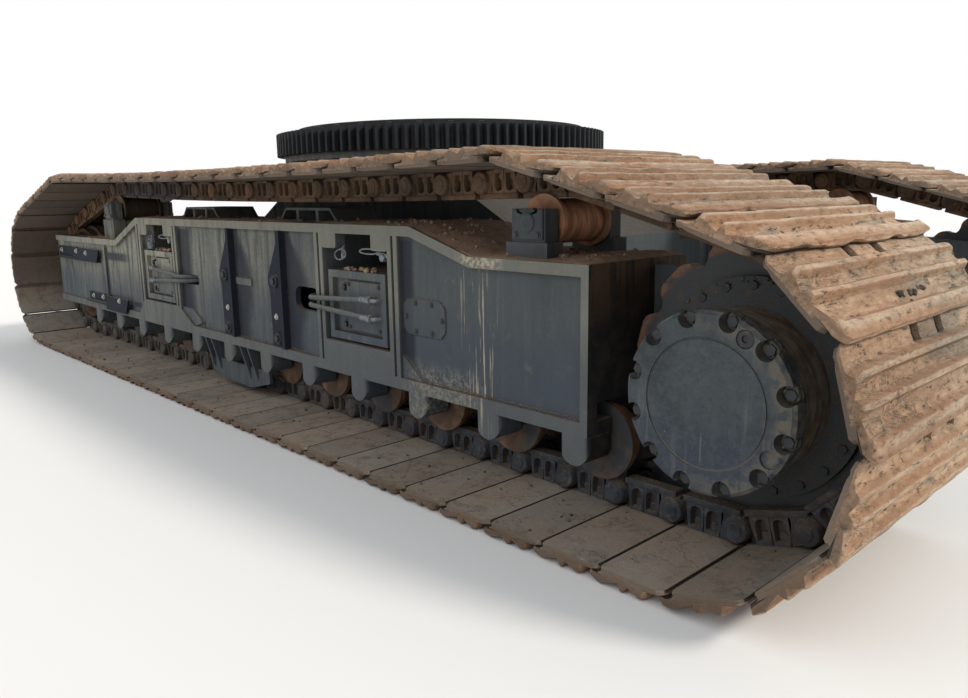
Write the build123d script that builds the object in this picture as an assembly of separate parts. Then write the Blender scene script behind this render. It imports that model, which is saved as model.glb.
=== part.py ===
from build123d import *
import math
import os

# Crawler undercarriage of a rotary drilling rig, in millimetres.
# The origin is on the ground below the slewing axis. +X runs along the crawlers
# to their drive sprockets, +Y goes to the far crawler and +Z is up.

# Overall layout
gauge = 2300.0            # between the two chain centre planes, crawlers drawn in
slide_stroke = 450.0      # outward travel of each crawler
sprocket_x = 2727.0
idler_x = -2758.0

# Track
link_pitch = 215.9
drive_teeth = 12
shoe_width = 1000.0
shoe_height = 52.0        # from the seat on the links to the grouser tips
shoe_plate = 17.0
shoe_valley = 21.0        # from the seat to the floor between two grousers
pin_to_shoe = 42.0        # from the pin line out to the shoe's seat
pin_to_rail = 62.0        # from the pin line in to the rail's running face
rail_inner = 62.0         # rails lie between these distances from the chain's centre plane
rail_outer = 106.0
link_step = 5.0           # a rail's end stands this much lower than the next one's start
tail_pin_z = 1137.0       # height of the pin line over the carrier roller at the idler's end
head_pin_z = 1110.0       # and over the one at the sprocket's end
tail_break_x = -1933.0    # where the top run bends down to the idler
head_break_x = 2097.0     # and down to the sprocket
break_radius = 162.0
top_sag = 25.0

# Bottom and carrier rollers
roller_count = 12
roller_first_x = 2242.0
roller_spacing = 393.0
roller_tread_r = 115.0
roller_flange_r = 133.0
roller_hub_r = 62.0
roller_tread_w = 46.0
roller_flange_w = 22.0
roller_clear = 3.0        # between a rail's outer face and a roller's flange
carrier_head_x = 1992.0
carrier_tail_x = -1863.0
carrier_tread_r = 75.0
carrier_flange_r = 92.0
carrier_axle_r = 38.0
carrier_base_half = 92.0  # half length of the block under a carrier roller's clamp
carrier_clamp_half = 74.0
carrier_clamp_top = 44.0  # above the axle's centre
carrier_clamp_low = 26.0  # from the axle down to the base block
carrier_clear = 3.0       # under the rails, whose links lie a little lower between their pins
axle_r = 34.0
axle_end = 8.0            # of a bottom roller's axle, beyond its flange
lobe_r = 58.0             # nose of the blocks that hold the bottom rollers
lobe_corner = 20.0

# Side frame
frame_half = 262.0        # from the chain's centre plane to the outer edge of the flanges
frame_bottom = 312.0
frame_high = 947.0
frame_head_low = 850.0    # top of the low end at the sprocket
frame_tail_low = 800.0
frame_head_x = 2297.0
frame_tail_x = -2873.0
slope_head_x = (1439.0, 1766.0)
slope_tail_x = (-1241.0, -1633.0)
bottom_flange = 46.0
top_flange = 38.0
web_thick = 26.0
web_recess = 22.0         # how far the webs stand back from the flange edges
end_plate = 30.0
doubler_end_x = -1885.0   # the outer web is doubled from the idler's end to here
doubler_thick = 9.0

# Windows in the side frame, with the cross beams in them
beam_x = (-962.0, 1071.0)
window_width = 460.0
window_bottom = 452.0
window_top = 909.0
lug_gap = 250.0           # between the lugs that hang in a window's top corners
lug_height = 62.0
lug_corner = 14.0
post_thick = 24.0         # uprights beside the windows, two on each side
post_gap = 15.0
beam_width = 404.0
beam_height = 292.0
beam_bottom = 464.0
beam_end_recess = 8.0     # from the flange edge back to the beam's end
beam_rim = 31.0
beam_pocket = 24.0        # depth of the recess in a beam's end
panel_width = 238.0       # raised panel in that recess
panel_height = 208.0
panel_shift = 33.0        # panel's centre from the beam's, towards the sprocket
panel_thick = 10.0
beam_meet = 30.0          # between the near and far beams inside a sleeve
pad_thick = 8.0
pad_clear = 0.4
sleeve_wall = 32.0
sleeve_hold = 365.0       # of a beam inside its sleeve when the crawler is drawn out

# Sprocket and final drive
sprocket_width = 52.0
sprocket_root = 36.0      # from the pitch circle in to the seats of the bushings
sprocket_tip = 7.0        # and out to the tips of the teeth
hub_cover_r = 250.0
hub_cover_out = 312.0     # outer face of the final drive's cover from the centre plane
hub_cover_thick = 60.0
hub_drum_r = 236.0
hub_flange_r = 318.0
hub_pockets = 12          # open to the cover's rim, a bolt in each
hub_pocket_at = 232.0     # from the axle out to their centres
hub_pocket_r = 27.0
hub_pocket_floor = 14.0
hub_plugs = (60.0, -30.0) # oil plugs, in degrees round from the sprocket's side
hub_plug_at = 216.0
hub_plug_r = 25.0
hub_plug_deep = 9.0
hub_groove_r = 181.0
hub_groove = 7.0
hub_spindle_r = 190.0
mount_r = 288.0
mount_low = 440.0         # foot of the mount on the side frame's end

# Idler
idler_r = 412.0           # of the pin line round the idler
idler_clear = 0.5
idler_flange_high = 22.0
idler_width = 200.0
idler_flange_w = 92.0

# Fittings on the side frame
bar_edges = (-6.0, 499.0)     # faces of the two guide bars towards the sprocket
bar_top_width = 51.0
bar_low_width = 128.0
bar_wide = 144.0
bar_rib = 26.0
bar_proud = 12.0          # ribs and bosses beyond the flange edges
bar_boss_r = 31.0
step_thick = 10.0
step_deep = 42.0          # from the web to a step's face
guide_left = -417.0       # guards beside the bottom chain
guide_right = 215.0
guide_low = 86.0
guide_high = 198.0
guide_out = 212.0
guide_thick = 16.0
guide_ribs = (-390.0, -317.0, 15.0, 94.0)
rest_height = 62.0        # tables on the top flange below the sagging chain
rest_slope = 62.0
rest_plate = 12.0
rest_half = 118.0

cover_gap = 77.0          # cover plate on the web, from the window towards the sprocket
cover_width = 239.0
cover_low = 538.0
cover_height = 136.0
cover_corner = 24.0
cover_thick = 7.0
tab = (6.0, 164.0, 630.0, 664.0)      # small plate: left and right of the first bar, low, high
tab_thick = 8.0
gusset_thick = 10.0

# Hoses
hose_r = 11.0
# Openings in the web, one beside each beam: left and right from the beam, low, high, corner
hose_ways = ((334.0, 510.0, 586.0, 642.0, 26.0), (-506.0, -309.0, 556.0, 662.0, 42.0))
# Beam, place in the opening and height there, place on the beam's end and height there
hose_runs = ((0, 438.0, 626.0, -70.0, 655.0), (0, 438.0, 602.0, -70.0, 580.0),
             (1, -421.0, 624.0, 116.0, 650.0), (1, -421.0, 592.0, 116.0, 575.0))
hose_clear = 3.0          # between the hoses and the flange edges
hose_depth = 90.0         # from the web back to the hoses' ends
hose_bends = (60.0, 32.0)

# Slewing ring
ring_bottom = 1285.0
ring_height = 122.0
tooth_module = 16.0
bolt_circle_d = 1620.0
bolt_hole_d = 33.0
bolt_count = 24
race_edge = 42.0          # from the bolt circle to the turning race's inner and outer faces
race_gap = 0.8
race_top = 1436.0
race_bottom = 1292.0
ring_wall = 89.0          # from the toothed ring's bore to the roots of its teeth
tooth_above = 0.9         # parts of a module above and below the pitch circle
tooth_below = 1.2
seat_plate = 34.0
seat_back = 30.0          # seat's edge, inside the pitch circle
seat_neck = 590.0

# Carbody
body_bottom = 424.0
deck_top = 1120.0
shoulder_z = 840.0
deck_half_x = 780.0
body_half_x = 1310.0
body_half_y = 600.0
belly_chamfer = (120.0, 60.0)
collar = 26.0             # frame round a sleeve's mouth
collar_deep = 34.0
neck_rib_angles = (-36.0, -12.0, 12.0, 36.0)   # ahead and astern, clear of the top runs
neck_rib_thick = 22.0
belly_cover_r = 210.0
belly_cover_thick = 10.0

# Swivel
swivel_r = 132.0
swivel_flange_r = 165.0
swivel_flange = 28.0
swivel_above = 40.0       # top of the swivel above the turning race
port_r = 19.0

# Worked out from the above
sprocket_r = link_pitch / (2 * math.sin(math.pi / drive_teeth))
pin_to_tip = pin_to_shoe + shoe_height
pin_low_z = pin_to_tip
sprocket_z = pin_low_z + sprocket_r
idler_tread_r = idler_r * math.cos(link_pitch / 2 / idler_r) - pin_to_rail - idler_clear
idler_flange_r = idler_tread_r + idler_flange_high
idler_z = pin_low_z + idler_r
rail_low_z = pin_low_z + pin_to_rail
roller_z = rail_low_z + roller_tread_r
crawler_y = gauge / 2
web_outer = frame_half - web_recess
roller_end = rail_outer + roller_clear + roller_flange_w + axle_end
floor_z = roller_z + roller_flange_r + 14
web_inside = web_outer - web_thick
flange_top_z = frame_bottom + bottom_flange
beam_top = beam_bottom + beam_height
sleeve_half = slide_stroke + beam_meet / 2 + sleeve_hold
beam_end = frame_half - beam_end_recess
panel_face = beam_end - beam_pocket + panel_thick
swivel_top = race_top + swivel_above
fork_x = idler_x + idler_flange_r + 40
race_inner_r = bolt_circle_d / 2 - race_edge
ring_bore_r = bolt_circle_d / 2 + race_edge
ring_teeth = round(2 * (ring_bore_r + ring_wall) / tooth_module + 2 * tooth_below)
ring_pitch_r = tooth_module * ring_teeth / 2


def block(x0, x1, y0, y1, z0, z1):
    """A box between two corners."""
    size = (x1 - x0, y1 - y0, z1 - z0)
    return Pos((x0 + x1) / 2, (y0 + y1) / 2, (z0 + z1) / 2) * Box(*size)


def rod(x, z, radius, y0, y1):
    """A cylinder along Y."""
    return Pos(x, (y0 + y1) / 2, z) * Rot(90, 0, 0) * Cylinder(radius, y1 - y0)


def plate(points, y0, y1):
    """A flat plate in the XZ plane: its outline, extruded from y0 to y1."""
    face = make_face(Polyline(*[(x, 0, z) for x, z in points], close=True))
    return Pos(0, y0, 0) * extrude(face, y1 - y0, dir=(0, 1, 0))


def turned(profile, x, z):
    """A solid turned about an axle along Y from (distance along Y, radius) points."""
    face = make_face(Polyline(*[(0, y, r) for y, r in profile], close=True))
    return Pos(x, 0, z) * revolve(face, Axis.Y)


def cross_plate(points, x0, x1):
    """A flat plate across the crawler: its outline in (y, z), extruded from x0 to x1."""
    face = make_face(Polyline(*[(0, y, z) for y, z in points], close=True))
    return Pos(x0, 0, 0) * extrude(face, x1 - x0, dir=(1, 0, 0))


def rounded_block(x0, x1, y0, y1, z0, z1, radius):
    """A box whose four edges along Y are rounded."""
    face = RectangleRounded(x1 - x0, z1 - z0, radius)
    return Pos((x0 + x1) / 2, y1, (z0 + z1) / 2) * Rot(90, 0, 0) * extrude(face, y1 - y0)


def chord_share(radius):
    """A link's length over the arc that it spans on a wheel."""
    return link_pitch / (2 * radius * math.asin(link_pitch / 2 / radius))


def dense_path():
    """The pin line as many short steps, anticlockwise from below the sprocket: (x, z, share)."""
    circles = [
        (sprocket_x, sprocket_z, sprocket_r),
        (head_break_x, head_pin_z - break_radius, break_radius),
        (tail_break_x, tail_pin_z - break_radius, break_radius),
        (idler_x, idler_z, idler_r),
    ]
    turns = [-math.pi / 2]
    for (x0, z0, r0), (x1, z1, r1) in zip(circles, circles[1:]):
        run = math.hypot(x1 - x0, z1 - z0)
        heading = math.atan2(z1 - z0, x1 - x0)
        normal = heading - math.pi / 2 + math.asin((r0 - r1) / run)
        turns.append(normal % (2 * math.pi))
    turns.append(math.pi * 1.5)
    points = []
    steps = 60
    for index, (x, z, r) in enumerate(circles):
        start, end = turns[index], turns[index + 1]
        share = chord_share(r) if index in (0, 3) else 1.0
        for step in range(steps + 1):
            angle = start + (end - start) * step / steps
            points.append((x + r * math.cos(angle), z + r * math.sin(angle), share if step else 1.0))
        if index == 1:
            x0, z0, _ = points[-1]
            angle = turns[2]
            x1 = circles[2][0] + break_radius * math.cos(angle)
            z1 = circles[2][1] + break_radius * math.sin(angle)
            for step in range(1, steps):
                part = step / steps
                dip = 4 * top_sag * part * (1 - part)
                points.append((x0 + (x1 - x0) * part, z0 + (z1 - z0) * part - dip, 1.0))
    points.append(points[0])
    return points


def track_pins():
    """Pin centres spaced evenly round the loop, one for each shoe."""
    path = dense_path()
    reach = [0.0]
    for (x0, z0, _), (x1, z1, share) in zip(path, path[1:]):
        reach.append(reach[-1] + math.hypot(x1 - x0, z1 - z0) * share)
    count = round(reach[-1] / link_pitch)
    pins = []
    at = 0
    for index in range(count):
        target = reach[-1] * index / count
        while reach[at + 1] <= target:
            at += 1
        part = (target - reach[at]) / (reach[at + 1] - reach[at])
        (x0, z0, _), (x1, z1, _) = path[at], path[at + 1]
        pins.append((x0 + (x1 - x0) * part, z0 + (z1 - z0) * part))
    return pins


def along_links(pins, pattern):
    """Repeats (share of the link, distance out from the pin line) points on each link."""
    points = []
    for (x0, z0), (x1, z1) in zip(pins, pins[1:] + pins[:1]):
        length = math.hypot(x1 - x0, z1 - z0)
        tx, tz = (x1 - x0) / length, (z1 - z0) / length
        for share, out in pattern:
            s = share * length
            points.append((x0 + tx * s + tz * out, z0 + tz * s - tx * out))
    return points


def corners(points):
    """The points of a closed outline at which it turns."""
    kept = []
    for index, (x, z) in enumerate(points):
        x0, z0 = points[index - 1]
        x1, z1 = points[(index + 1) % len(points)]
        if abs((x - x0) * (z1 - z) - (z - z0) * (x1 - x)) > 1.0:
            kept.append((x, z))
    return kept


def loop_solid(outer, inner, y0, y1):
    """A closed band between two outlines."""
    outer_wire = Polyline(*[(x, 0, z) for x, z in corners(outer)], close=True)
    inner_wire = Polyline(*[(x, 0, z) for x, z in corners(inner)], close=True)
    face = make_face(outer_wire) - make_face(inner_wire)
    return Pos(0, y0, 0) * extrude(face, y1 - y0, dir=(0, 1, 0))


def top_rail_z(x):
    """Height of the rails' running face on the top run, above one place along the crawler."""
    pins = track_pins()
    for (x0, z0), (x1, z1) in zip(pins, pins[1:]):
        if x1 <= x < x0 and z0 > idler_z + idler_r / 2:
            tilt = math.atan2(abs(z1 - z0), x0 - x1)
            return z0 + (z1 - z0) * (x0 - x) / (x0 - x1) - pin_to_rail / math.cos(tilt)
    raise ValueError("no top run above this place")


def offset_pins(pins, out):
    """The pin polygon moved outwards by one distance, corner by corner."""
    points = []
    for index, (x, z) in enumerate(pins):
        x0, z0 = pins[index - 1]
        x1, z1 = pins[(index + 1) % len(pins)]
        length = math.hypot(x1 - x0, z1 - z0)
        tx, tz = (x1 - x0) / length, (z1 - z0) / length
        points.append((x + tz * out, z - tx * out))
    return points


def make_shoes():
    """Shoes as one band: three grousers each, and a low lip under the next shoe."""
    pins = track_pins()
    tip = pin_to_tip
    valley = pin_to_shoe + shoe_valley
    lip = pin_to_shoe + shoe_plate
    pattern = [(0.06, tip), (0.24, valley), (0.44, tip), (0.61, valley), (0.77, tip), (0.88, lip)]
    outer = along_links(pins, pattern)
    return loop_solid(outer, offset_pins(pins, pin_to_shoe), -shoe_width / 2, shoe_width / 2)


def make_chain():
    """Two link rails, stepped where one link ends and the next begins, inside the shoes."""
    pins = track_pins()
    outer = offset_pins(pins, pin_to_shoe)
    inner = along_links(pins, [(0.07, -pin_to_rail), (0.935, link_step - pin_to_rail)])
    rails = [loop_solid(outer, inner, y0, y1)
             for y0, y1 in ((-rail_outer, -rail_inner), (rail_inner, rail_outer))]
    return Compound(children=rails)


def make_idler():
    """Guide wheel with a centre flange between the rails."""
    half, flange = idler_width / 2, idler_flange_w / 2
    profile = [(-half, 70), (-half, 120), (-half + 30, 135), (-half + 30, idler_tread_r - 45),
               (-half, idler_tread_r - 25), (-half, idler_tread_r), (-flange, idler_tread_r),
               (-flange + 6, idler_flange_r), (flange - 6, idler_flange_r), (flange, idler_tread_r),
               (half, idler_tread_r), (half, idler_tread_r - 25), (half - 30, idler_tread_r - 45),
               (half - 30, 135), (half, 120), (half, 70)]
    wheel = turned(profile, idler_x, idler_z)
    return wheel + rod(idler_x, idler_z, 70, -web_inside, web_inside)


def make_sprocket():
    """Toothed rim: broad teeth, one for each link, with rounded seats for the chain's bushings."""
    step = 2 * math.pi / drive_teeth
    # Tooth form: share of the way from one seat to the next, and height above the pitch circle
    root, tip = -sprocket_root, sprocket_tip
    form = ((0.0, root), (0.07, root + 4), (0.13, root + 15), (0.18, root + 29), (0.24, tip - 5),
            (0.32, tip), (0.68, tip), (0.76, tip - 5), (0.82, root + 29), (0.87, root + 15),
            (0.93, root + 4))
    points = []
    for index in range(drive_teeth):
        for share, height in form:
            angle = (index + share) * step - math.pi / 2
            radius = sprocket_r + height
            points.append((sprocket_x + radius * math.cos(angle), sprocket_z + radius * math.sin(angle)))
    half = sprocket_width / 2
    rim = plate(points, -half, half)
    return rim - rod(sprocket_x, sprocket_z, hub_drum_r, -sprocket_width, sprocket_width)


def make_final_drive():
    """Planetary drive: bolting flange, drum and the pocketed cover, turned about the axle."""
    face = hub_cover_out
    back = sprocket_width / 2
    rear = -idler_width
    drum = turned([(rear, 0), (rear, hub_spindle_r), (-back, hub_spindle_r), (-back, hub_drum_r),
                   (back, hub_drum_r),
                   (back, hub_flange_r), (back + 34, hub_flange_r), (back + 60, hub_drum_r),
                   (face - hub_cover_thick, hub_drum_r), (face - hub_cover_thick, hub_cover_r),
                   (face - 10, hub_cover_r), (face, hub_cover_r - 10), (face, 0)],
                  sprocket_x, sprocket_z)
    for index in range(hub_pockets):
        angle = 2 * math.pi * (index + 0.5) / hub_pockets
        x = sprocket_x + hub_pocket_at * math.cos(angle)
        z = sprocket_z + hub_pocket_at * math.sin(angle)
        drum -= rod(x, z, hub_pocket_r, face - hub_cover_thick + hub_pocket_floor, face + 5)
    for angle in hub_plugs:
        x = sprocket_x + hub_plug_at * math.cos(math.radians(angle))
        z = sprocket_z + hub_plug_at * math.sin(math.radians(angle))
        drum -= rod(x, z, hub_plug_r, face - hub_plug_deep, face + 5)
    groove = rod(sprocket_x, sprocket_z, hub_groove_r, face - 5, face + 1)
    groove -= rod(sprocket_x, sprocket_z, hub_groove_r - hub_groove, face - 6, face + 2)
    return drum - groove


def frame_outline():
    """Side view of the side frame: high over the beams, low at both ends."""
    return [(frame_tail_x, frame_bottom), (frame_head_x, frame_bottom), (frame_head_x, frame_head_low),
            (slope_head_x[1], frame_head_low), (slope_head_x[0], frame_high),
            (slope_tail_x[0], frame_high), (slope_tail_x[1], frame_tail_low),
            (frame_tail_x, frame_tail_low)]


def window_boxes(half, low, high, y0, y1):
    """Openings of one size at each cross beam."""
    return [block(x - half, x + half, y0, y1, low, high) for x in beam_x]


def window_edges():
    """Both edges of each window, with the side on which its uprights stand."""
    return [(x + side * window_width / 2, side) for x in beam_x for side in (-1, 1)]


def make_flanges():
    """Top flange along the outline and two bottom flanges, forked round the idler."""
    top = [p for p in frame_outline() if p[1] > frame_bottom + 1]
    under = [(x, z - top_flange) for x, z in top]
    flanges = plate(top + under[::-1], -frame_half, frame_half)
    for y0, y1 in ((roller_end, frame_half), (-frame_half, -roller_end)):
        flanges += block(frame_tail_x, frame_head_x, y0, y1, frame_bottom, flange_top_z)
    fork_gap = idler_width / 2 + 22
    return flanges - block(frame_tail_x - 10, fork_x, -fork_gap, fork_gap, frame_bottom - 10, frame_high)


def make_webs():
    """Outer and inner webs; the beams show in the outer one's windows and fill the inner one's."""
    outline = frame_outline()
    outer = plate(outline, web_inside, web_outer)
    for box in window_boxes(window_width / 2, window_bottom, window_top, 0, frame_half):
        outer -= box
    for x, (left, right, low, high, corner) in zip(beam_x, hose_ways):
        outer -= rounded_block(x + left, x + right, web_inside - 5, web_outer + 5, low, high, corner)
    inner = plate(outline, -web_outer, -web_inside)
    for box in window_boxes(beam_width / 2, beam_bottom, beam_top, -frame_half, 0):
        inner -= box
    return outer + inner


def make_stiffeners():
    """Floor, end plates and the uprights beside the windows."""
    parts = block(fork_x, frame_head_x, -web_inside, web_inside, floor_z, floor_z + web_thick)
    parts += block(fork_x, fork_x + end_plate, -web_inside, web_inside, floor_z, frame_tail_low - 5)
    parts += block(frame_head_x - end_plate, frame_head_x, -frame_half, frame_half,
                   floor_z, frame_head_low - 5)
    for y0, y1 in ((-frame_half, -web_inside), (web_inside, frame_half)):
        parts += block(frame_head_x - end_plate, frame_head_x, y0, y1, flange_top_z - 5, floor_z + 5)
    for edge, side in window_edges():
        x0, x1 = sorted((edge, edge + side * post_thick))
        parts += block(x0, x1, -frame_half, frame_half, floor_z, frame_high - 5)
        second = edge + side * (post_thick + post_gap)
        x2, x3 = sorted((second, second + side * post_thick))
        for y0, y1 in ((-frame_half, -web_inside), (web_inside, frame_half)):
            parts += block(x0, x1, y0, y1, flange_top_z - 5, floor_z + 5)
            parts += block(x2, x3, y0, y1, flange_top_z - 5, frame_high - 5)
    return parts


def make_lugs():
    """Lugs in the top corners of the windows, for the pins that lock the beams."""
    low = window_top - lug_height
    lugs = []
    for edge, side in window_edges():
        inner = edge - side * (window_width - lug_gap) / 2
        x0, x1 = sorted((edge + side, inner))
        lug = rounded_block(x0, x1, web_inside, frame_half, low, window_top + 2 * lug_corner, lug_corner)
        lugs.append(lug - block(x0 - 1, x1 + 1, web_inside - 1, frame_half + 1, window_top + 2,
                                frame_high))
    return lugs


def make_web_plates():
    """Plates welded on the outer web: doubler, aprons, gussets, tab and cover."""
    base = flange_top_z - 2
    half = window_width / 2
    tail, head = beam_x[0] + half, beam_x[1] + half
    doubler_top = frame_tail_low - top_flange + 2
    tab_left, tab_right, tab_low, tab_high = tab
    left = head + cover_gap
    right = left + cover_width
    cover_high = cover_low + cover_height
    cut = cover_corner
    # Outline of each plate, and its height above the web
    table = (
        ([(frame_tail_x, base), (doubler_end_x, base), (doubler_end_x, doubler_top),
          (frame_tail_x, doubler_top)], doubler_thick),
        ([(tail - window_width - 120, base), (tail - window_width - 10, window_bottom),
          (tail + 40, window_bottom), (tail + 215, base)], web_recess),
        ([(tail + 40, window_bottom), (tail + 190, window_bottom), (tail + 310, base + 30),
          (tail + 215, base)], gusset_thick),
        ([(head - window_width, base), (head - window_width, window_bottom), (head, window_bottom),
          (head, base)], web_recess),
        ([(head + 60, base), (head + 60, base + 96), (head + 192, base)], gusset_thick),
        ([(bar_edges[0] + x, z) for x, z in ((tab_left, tab_low), (tab_right, tab_low),
                                             (tab_right, tab_high), (tab_left, tab_high))], tab_thick),
        ([(left, cover_low + cut), (left + cut, cover_low), (right - cut, cover_low),
          (right, cover_low + cut), (right, cover_high - cut), (right - cut, cover_high),
          (left + cut, cover_high), (left, cover_high - cut)], cover_thick),
    )
    return [plate(outline, web_outer - 1, web_outer + height) for outline, height in table]


def make_side_frame():
    """Box weldment: flanges, webs with windows, stiffeners and what is welded on the outer web."""
    frame = make_flanges() + make_webs() + make_stiffeners()
    for piece in make_lugs() + make_web_plates():
        frame += piece
    return frame


def make_roller_mounts():
    """Round-nosed blocks under the frame that hold the bottom rollers' axles."""
    lobes = []
    low = roller_z - lobe_r
    for x in roller_places():
        for side in (-1, 1):
            y0, y1 = sorted((side * roller_end, side * frame_half))
            nose = block(x - lobe_r, x + lobe_r, y0, y1, roller_z, frame_bottom)
            nose += rod(x, roller_z, lobe_r, y0, y1)
            plan = extrude(RectangleRounded(2 * lobe_r, y1 - y0, lobe_corner), frame_bottom - low)
            lobes.append(nose & (Pos(x, (y0 + y1) / 2, low) * plan))
    return Compound(children=lobes)


def roller_places():
    return [roller_first_x - roller_spacing * index for index in range(roller_count)]


def make_bottom_rollers():
    """Double rollers with outer flanges, each with its axle."""
    outer = rail_outer + roller_clear
    edge = outer + roller_flange_w
    profile = [(-edge, axle_r), (-edge, roller_flange_r), (-outer, roller_flange_r),
               (-outer, roller_tread_r), (-outer + roller_tread_w, roller_tread_r),
               (-outer + roller_tread_w, roller_hub_r), (outer - roller_tread_w, roller_hub_r),
               (outer - roller_tread_w, roller_tread_r), (outer, roller_tread_r),
               (outer, roller_flange_r), (edge, roller_flange_r), (edge, axle_r),
               (roller_end, axle_r), (roller_end, 0), (-roller_end, 0), (-roller_end, axle_r)]
    return Compound(children=[turned(profile, x, roller_z) for x in roller_places()])


def carrier_places():
    """Axle centres of the carrier rollers, with the height of the frame below them."""
    drop = carrier_tread_r + carrier_clear
    return [(carrier_head_x, top_rail_z(carrier_head_x) - drop, frame_head_low),
            (carrier_tail_x, top_rail_z(carrier_tail_x) - drop, frame_tail_low)]


def make_carrier_rollers():
    """Flanged drums that carry the top run, on axles clamped in two blocks."""
    outer = rail_outer + roller_clear
    edge = outer + 14
    profile = [(-edge - 60, 0), (-edge - 60, carrier_axle_r), (-edge, carrier_axle_r),
               (-edge, carrier_flange_r), (-outer, carrier_flange_r), (-outer, carrier_tread_r),
               (outer, carrier_tread_r), (outer, carrier_flange_r), (edge, carrier_flange_r),
               (edge, carrier_axle_r), (edge + 60, carrier_axle_r), (edge + 60, 0)]
    return Compound(children=[turned(profile, x, z) for x, z, _ in carrier_places()])


def make_carrier_blocks():
    """Pedestals on the frame: a base block, and a narrower saddle for the carrier roller's axle."""
    blocks = []
    for x, z, base in carrier_places():
        seat = z - carrier_axle_r - carrier_clamp_low
        for side in (-1, 1):
            y0, y1 = sorted((side * (rail_outer + 32), side * (rail_outer + 92)))
            y2, y3 = sorted((side * (rail_outer + 26), side * (rail_outer + 104)))
            pedestal = block(x - carrier_base_half, x + carrier_base_half, y2, y3, base, seat)
            pedestal += block(x - carrier_clamp_half, x + carrier_clamp_half, y0, y1, seat - 2,
                              z + carrier_clamp_top)
            pedestal -= rod(x, z, carrier_axle_r, y0 - 1, y1 + 1)
            pedestal -= block(x - carrier_axle_r, x + carrier_axle_r, y0 - 1, y1 + 1, z,
                              z + carrier_clamp_top + 1)
            blocks.append(pedestal)
    return Compound(children=blocks)


def make_chain_guide():
    """Guards beside the bottom chain, hung from the frame on ribs that slope inwards."""
    bevel = guide_low + 38
    outline = [(guide_left, bevel), (guide_left + 150, guide_low), (guide_right - 190, guide_low),
               (guide_right, bevel + 10), (guide_right, guide_high), (guide_left, guide_high)]
    guards = []
    for side in (-1, 1):
        y0, y1 = sorted((side * (guide_out - guide_thick), side * guide_out))
        guard = plate(outline, y0, y1)
        rib = [(side * (guide_out - guide_thick), frame_bottom), (side * frame_half, frame_bottom),
               (side * guide_out, bevel + 4), (side * (guide_out - guide_thick), bevel + 4)]
        for x in guide_ribs:
            guard += cross_plate(rib, x - 6, x + 6)
        guards.append(guard)
    return Compound(children=guards)


def make_cross_beams():
    """Box beams fixed in the side frame; their inner ends slide in the carbody."""
    beams = []
    inner = -(crawler_y - beam_meet / 2)
    half = beam_width / 2
    floor = beam_end - beam_pocket
    middle = (beam_bottom + beam_top) / 2
    for x in beam_x:
        beam = block(x - half, x + half, inner, beam_end, beam_bottom, beam_top)
        beam -= block(x - half + beam_rim, x + half - beam_rim, floor, beam_end + 1,
                      beam_bottom + beam_rim, beam_top - beam_rim)
        centre = x + panel_shift
        beam += block(centre - panel_width / 2, centre + panel_width / 2, floor - 1, panel_face,
                      middle - panel_height / 2, middle + panel_height / 2)
        beams.append(beam)
    return Compound(children=beams)


def make_guide_bars():
    """Two upright bars on the outer web: a leaf that widens at its boss, and a rib along one edge."""
    low, high = flange_top_z, frame_high - top_flange
    front = frame_half + bar_proud
    bars = []
    for edge in bar_edges:
        bar = plate([(edge, low), (edge, high), (edge - bar_top_width, high),
                     (edge - bar_top_width, high - 60), (edge - bar_wide, high - 220),
                     (edge - bar_wide, high - 252), (edge - bar_low_width, high - 285),
                     (edge - bar_low_width, low)], web_outer, frame_half)
        bar += block(edge - bar_rib, edge, web_outer, front, low, high)
        for back, z in ((66.0, 675.0), (58.0, 405.0)):
            bar += rod(edge - back, z, bar_boss_r, web_outer, front)
        bars.append(bar)
    return Compound(children=bars)


def make_steps():
    """Two steps at the idler's end: a plate on the web, and a folded bracket that overlaps it."""
    # Left end, right end of the plate and of the bracket; bottom of the plate, top of both,
    # bottom of the bracket's face and height of its shelf
    table = ((-2830.0, -2430.0, -1905.0, 650.0, 724.0, 636.0, 636.0),
             (-2235.0, -1850.0, -1440.0, 368.0, 424.0, 330.0, flange_top_z))
    back = web_outer + doubler_thick
    face = web_outer + step_deep
    cut = block(frame_tail_x, doubler_end_x, web_outer - 1, back, frame_bottom, frame_high)
    steps = []
    for left, middle, right, low, top, face_low, shelf in table:
        step = block(left, middle + step_thick, back, back + step_thick, low, top)
        step += block(left, middle, back, face, low - step_thick, low)
        step += plate([(middle, face_low), (right - 60, face_low), (right, top), (middle, top)],
                      face - step_thick, face)
        step += block(middle, middle + step_thick, web_outer, face, shelf, top)
        step += block(middle, right - 60, web_outer, face, shelf, shelf + step_thick)
        steps.append(step - cut)
    return Compound(children=steps)


def make_skid_plates():
    """Tables on the frame's top, with sloped ends and ribs, below the sagging top run."""
    low, high = frame_high, frame_high + rest_height
    rests = []
    for x0, x1 in ((-883.0, -403.0), (247.0, 757.0)):
        outer = [(x0, low), (x0 + rest_slope, high), (x1 - rest_slope, high), (x1, low)]
        inner = [(x0 + rest_plate * 1.6, low - 1), (x0 + rest_slope + rest_plate / 2, high - rest_plate),
                 (x1 - rest_slope - rest_plate / 2, high - rest_plate), (x1 - rest_plate * 1.6, low - 1)]
        rest = plate(outer, -rest_half, rest_half) - plate(inner, -rest_half - 1, rest_half + 1)
        third = (x1 - x0) / 3
        for x in (x0 + third, x1 - third):
            rest += block(x - rest_plate, x + rest_plate, -rest_half, rest_half, low, high - rest_plate / 2)
        rests.append(rest)
    return Compound(children=rests)


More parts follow.
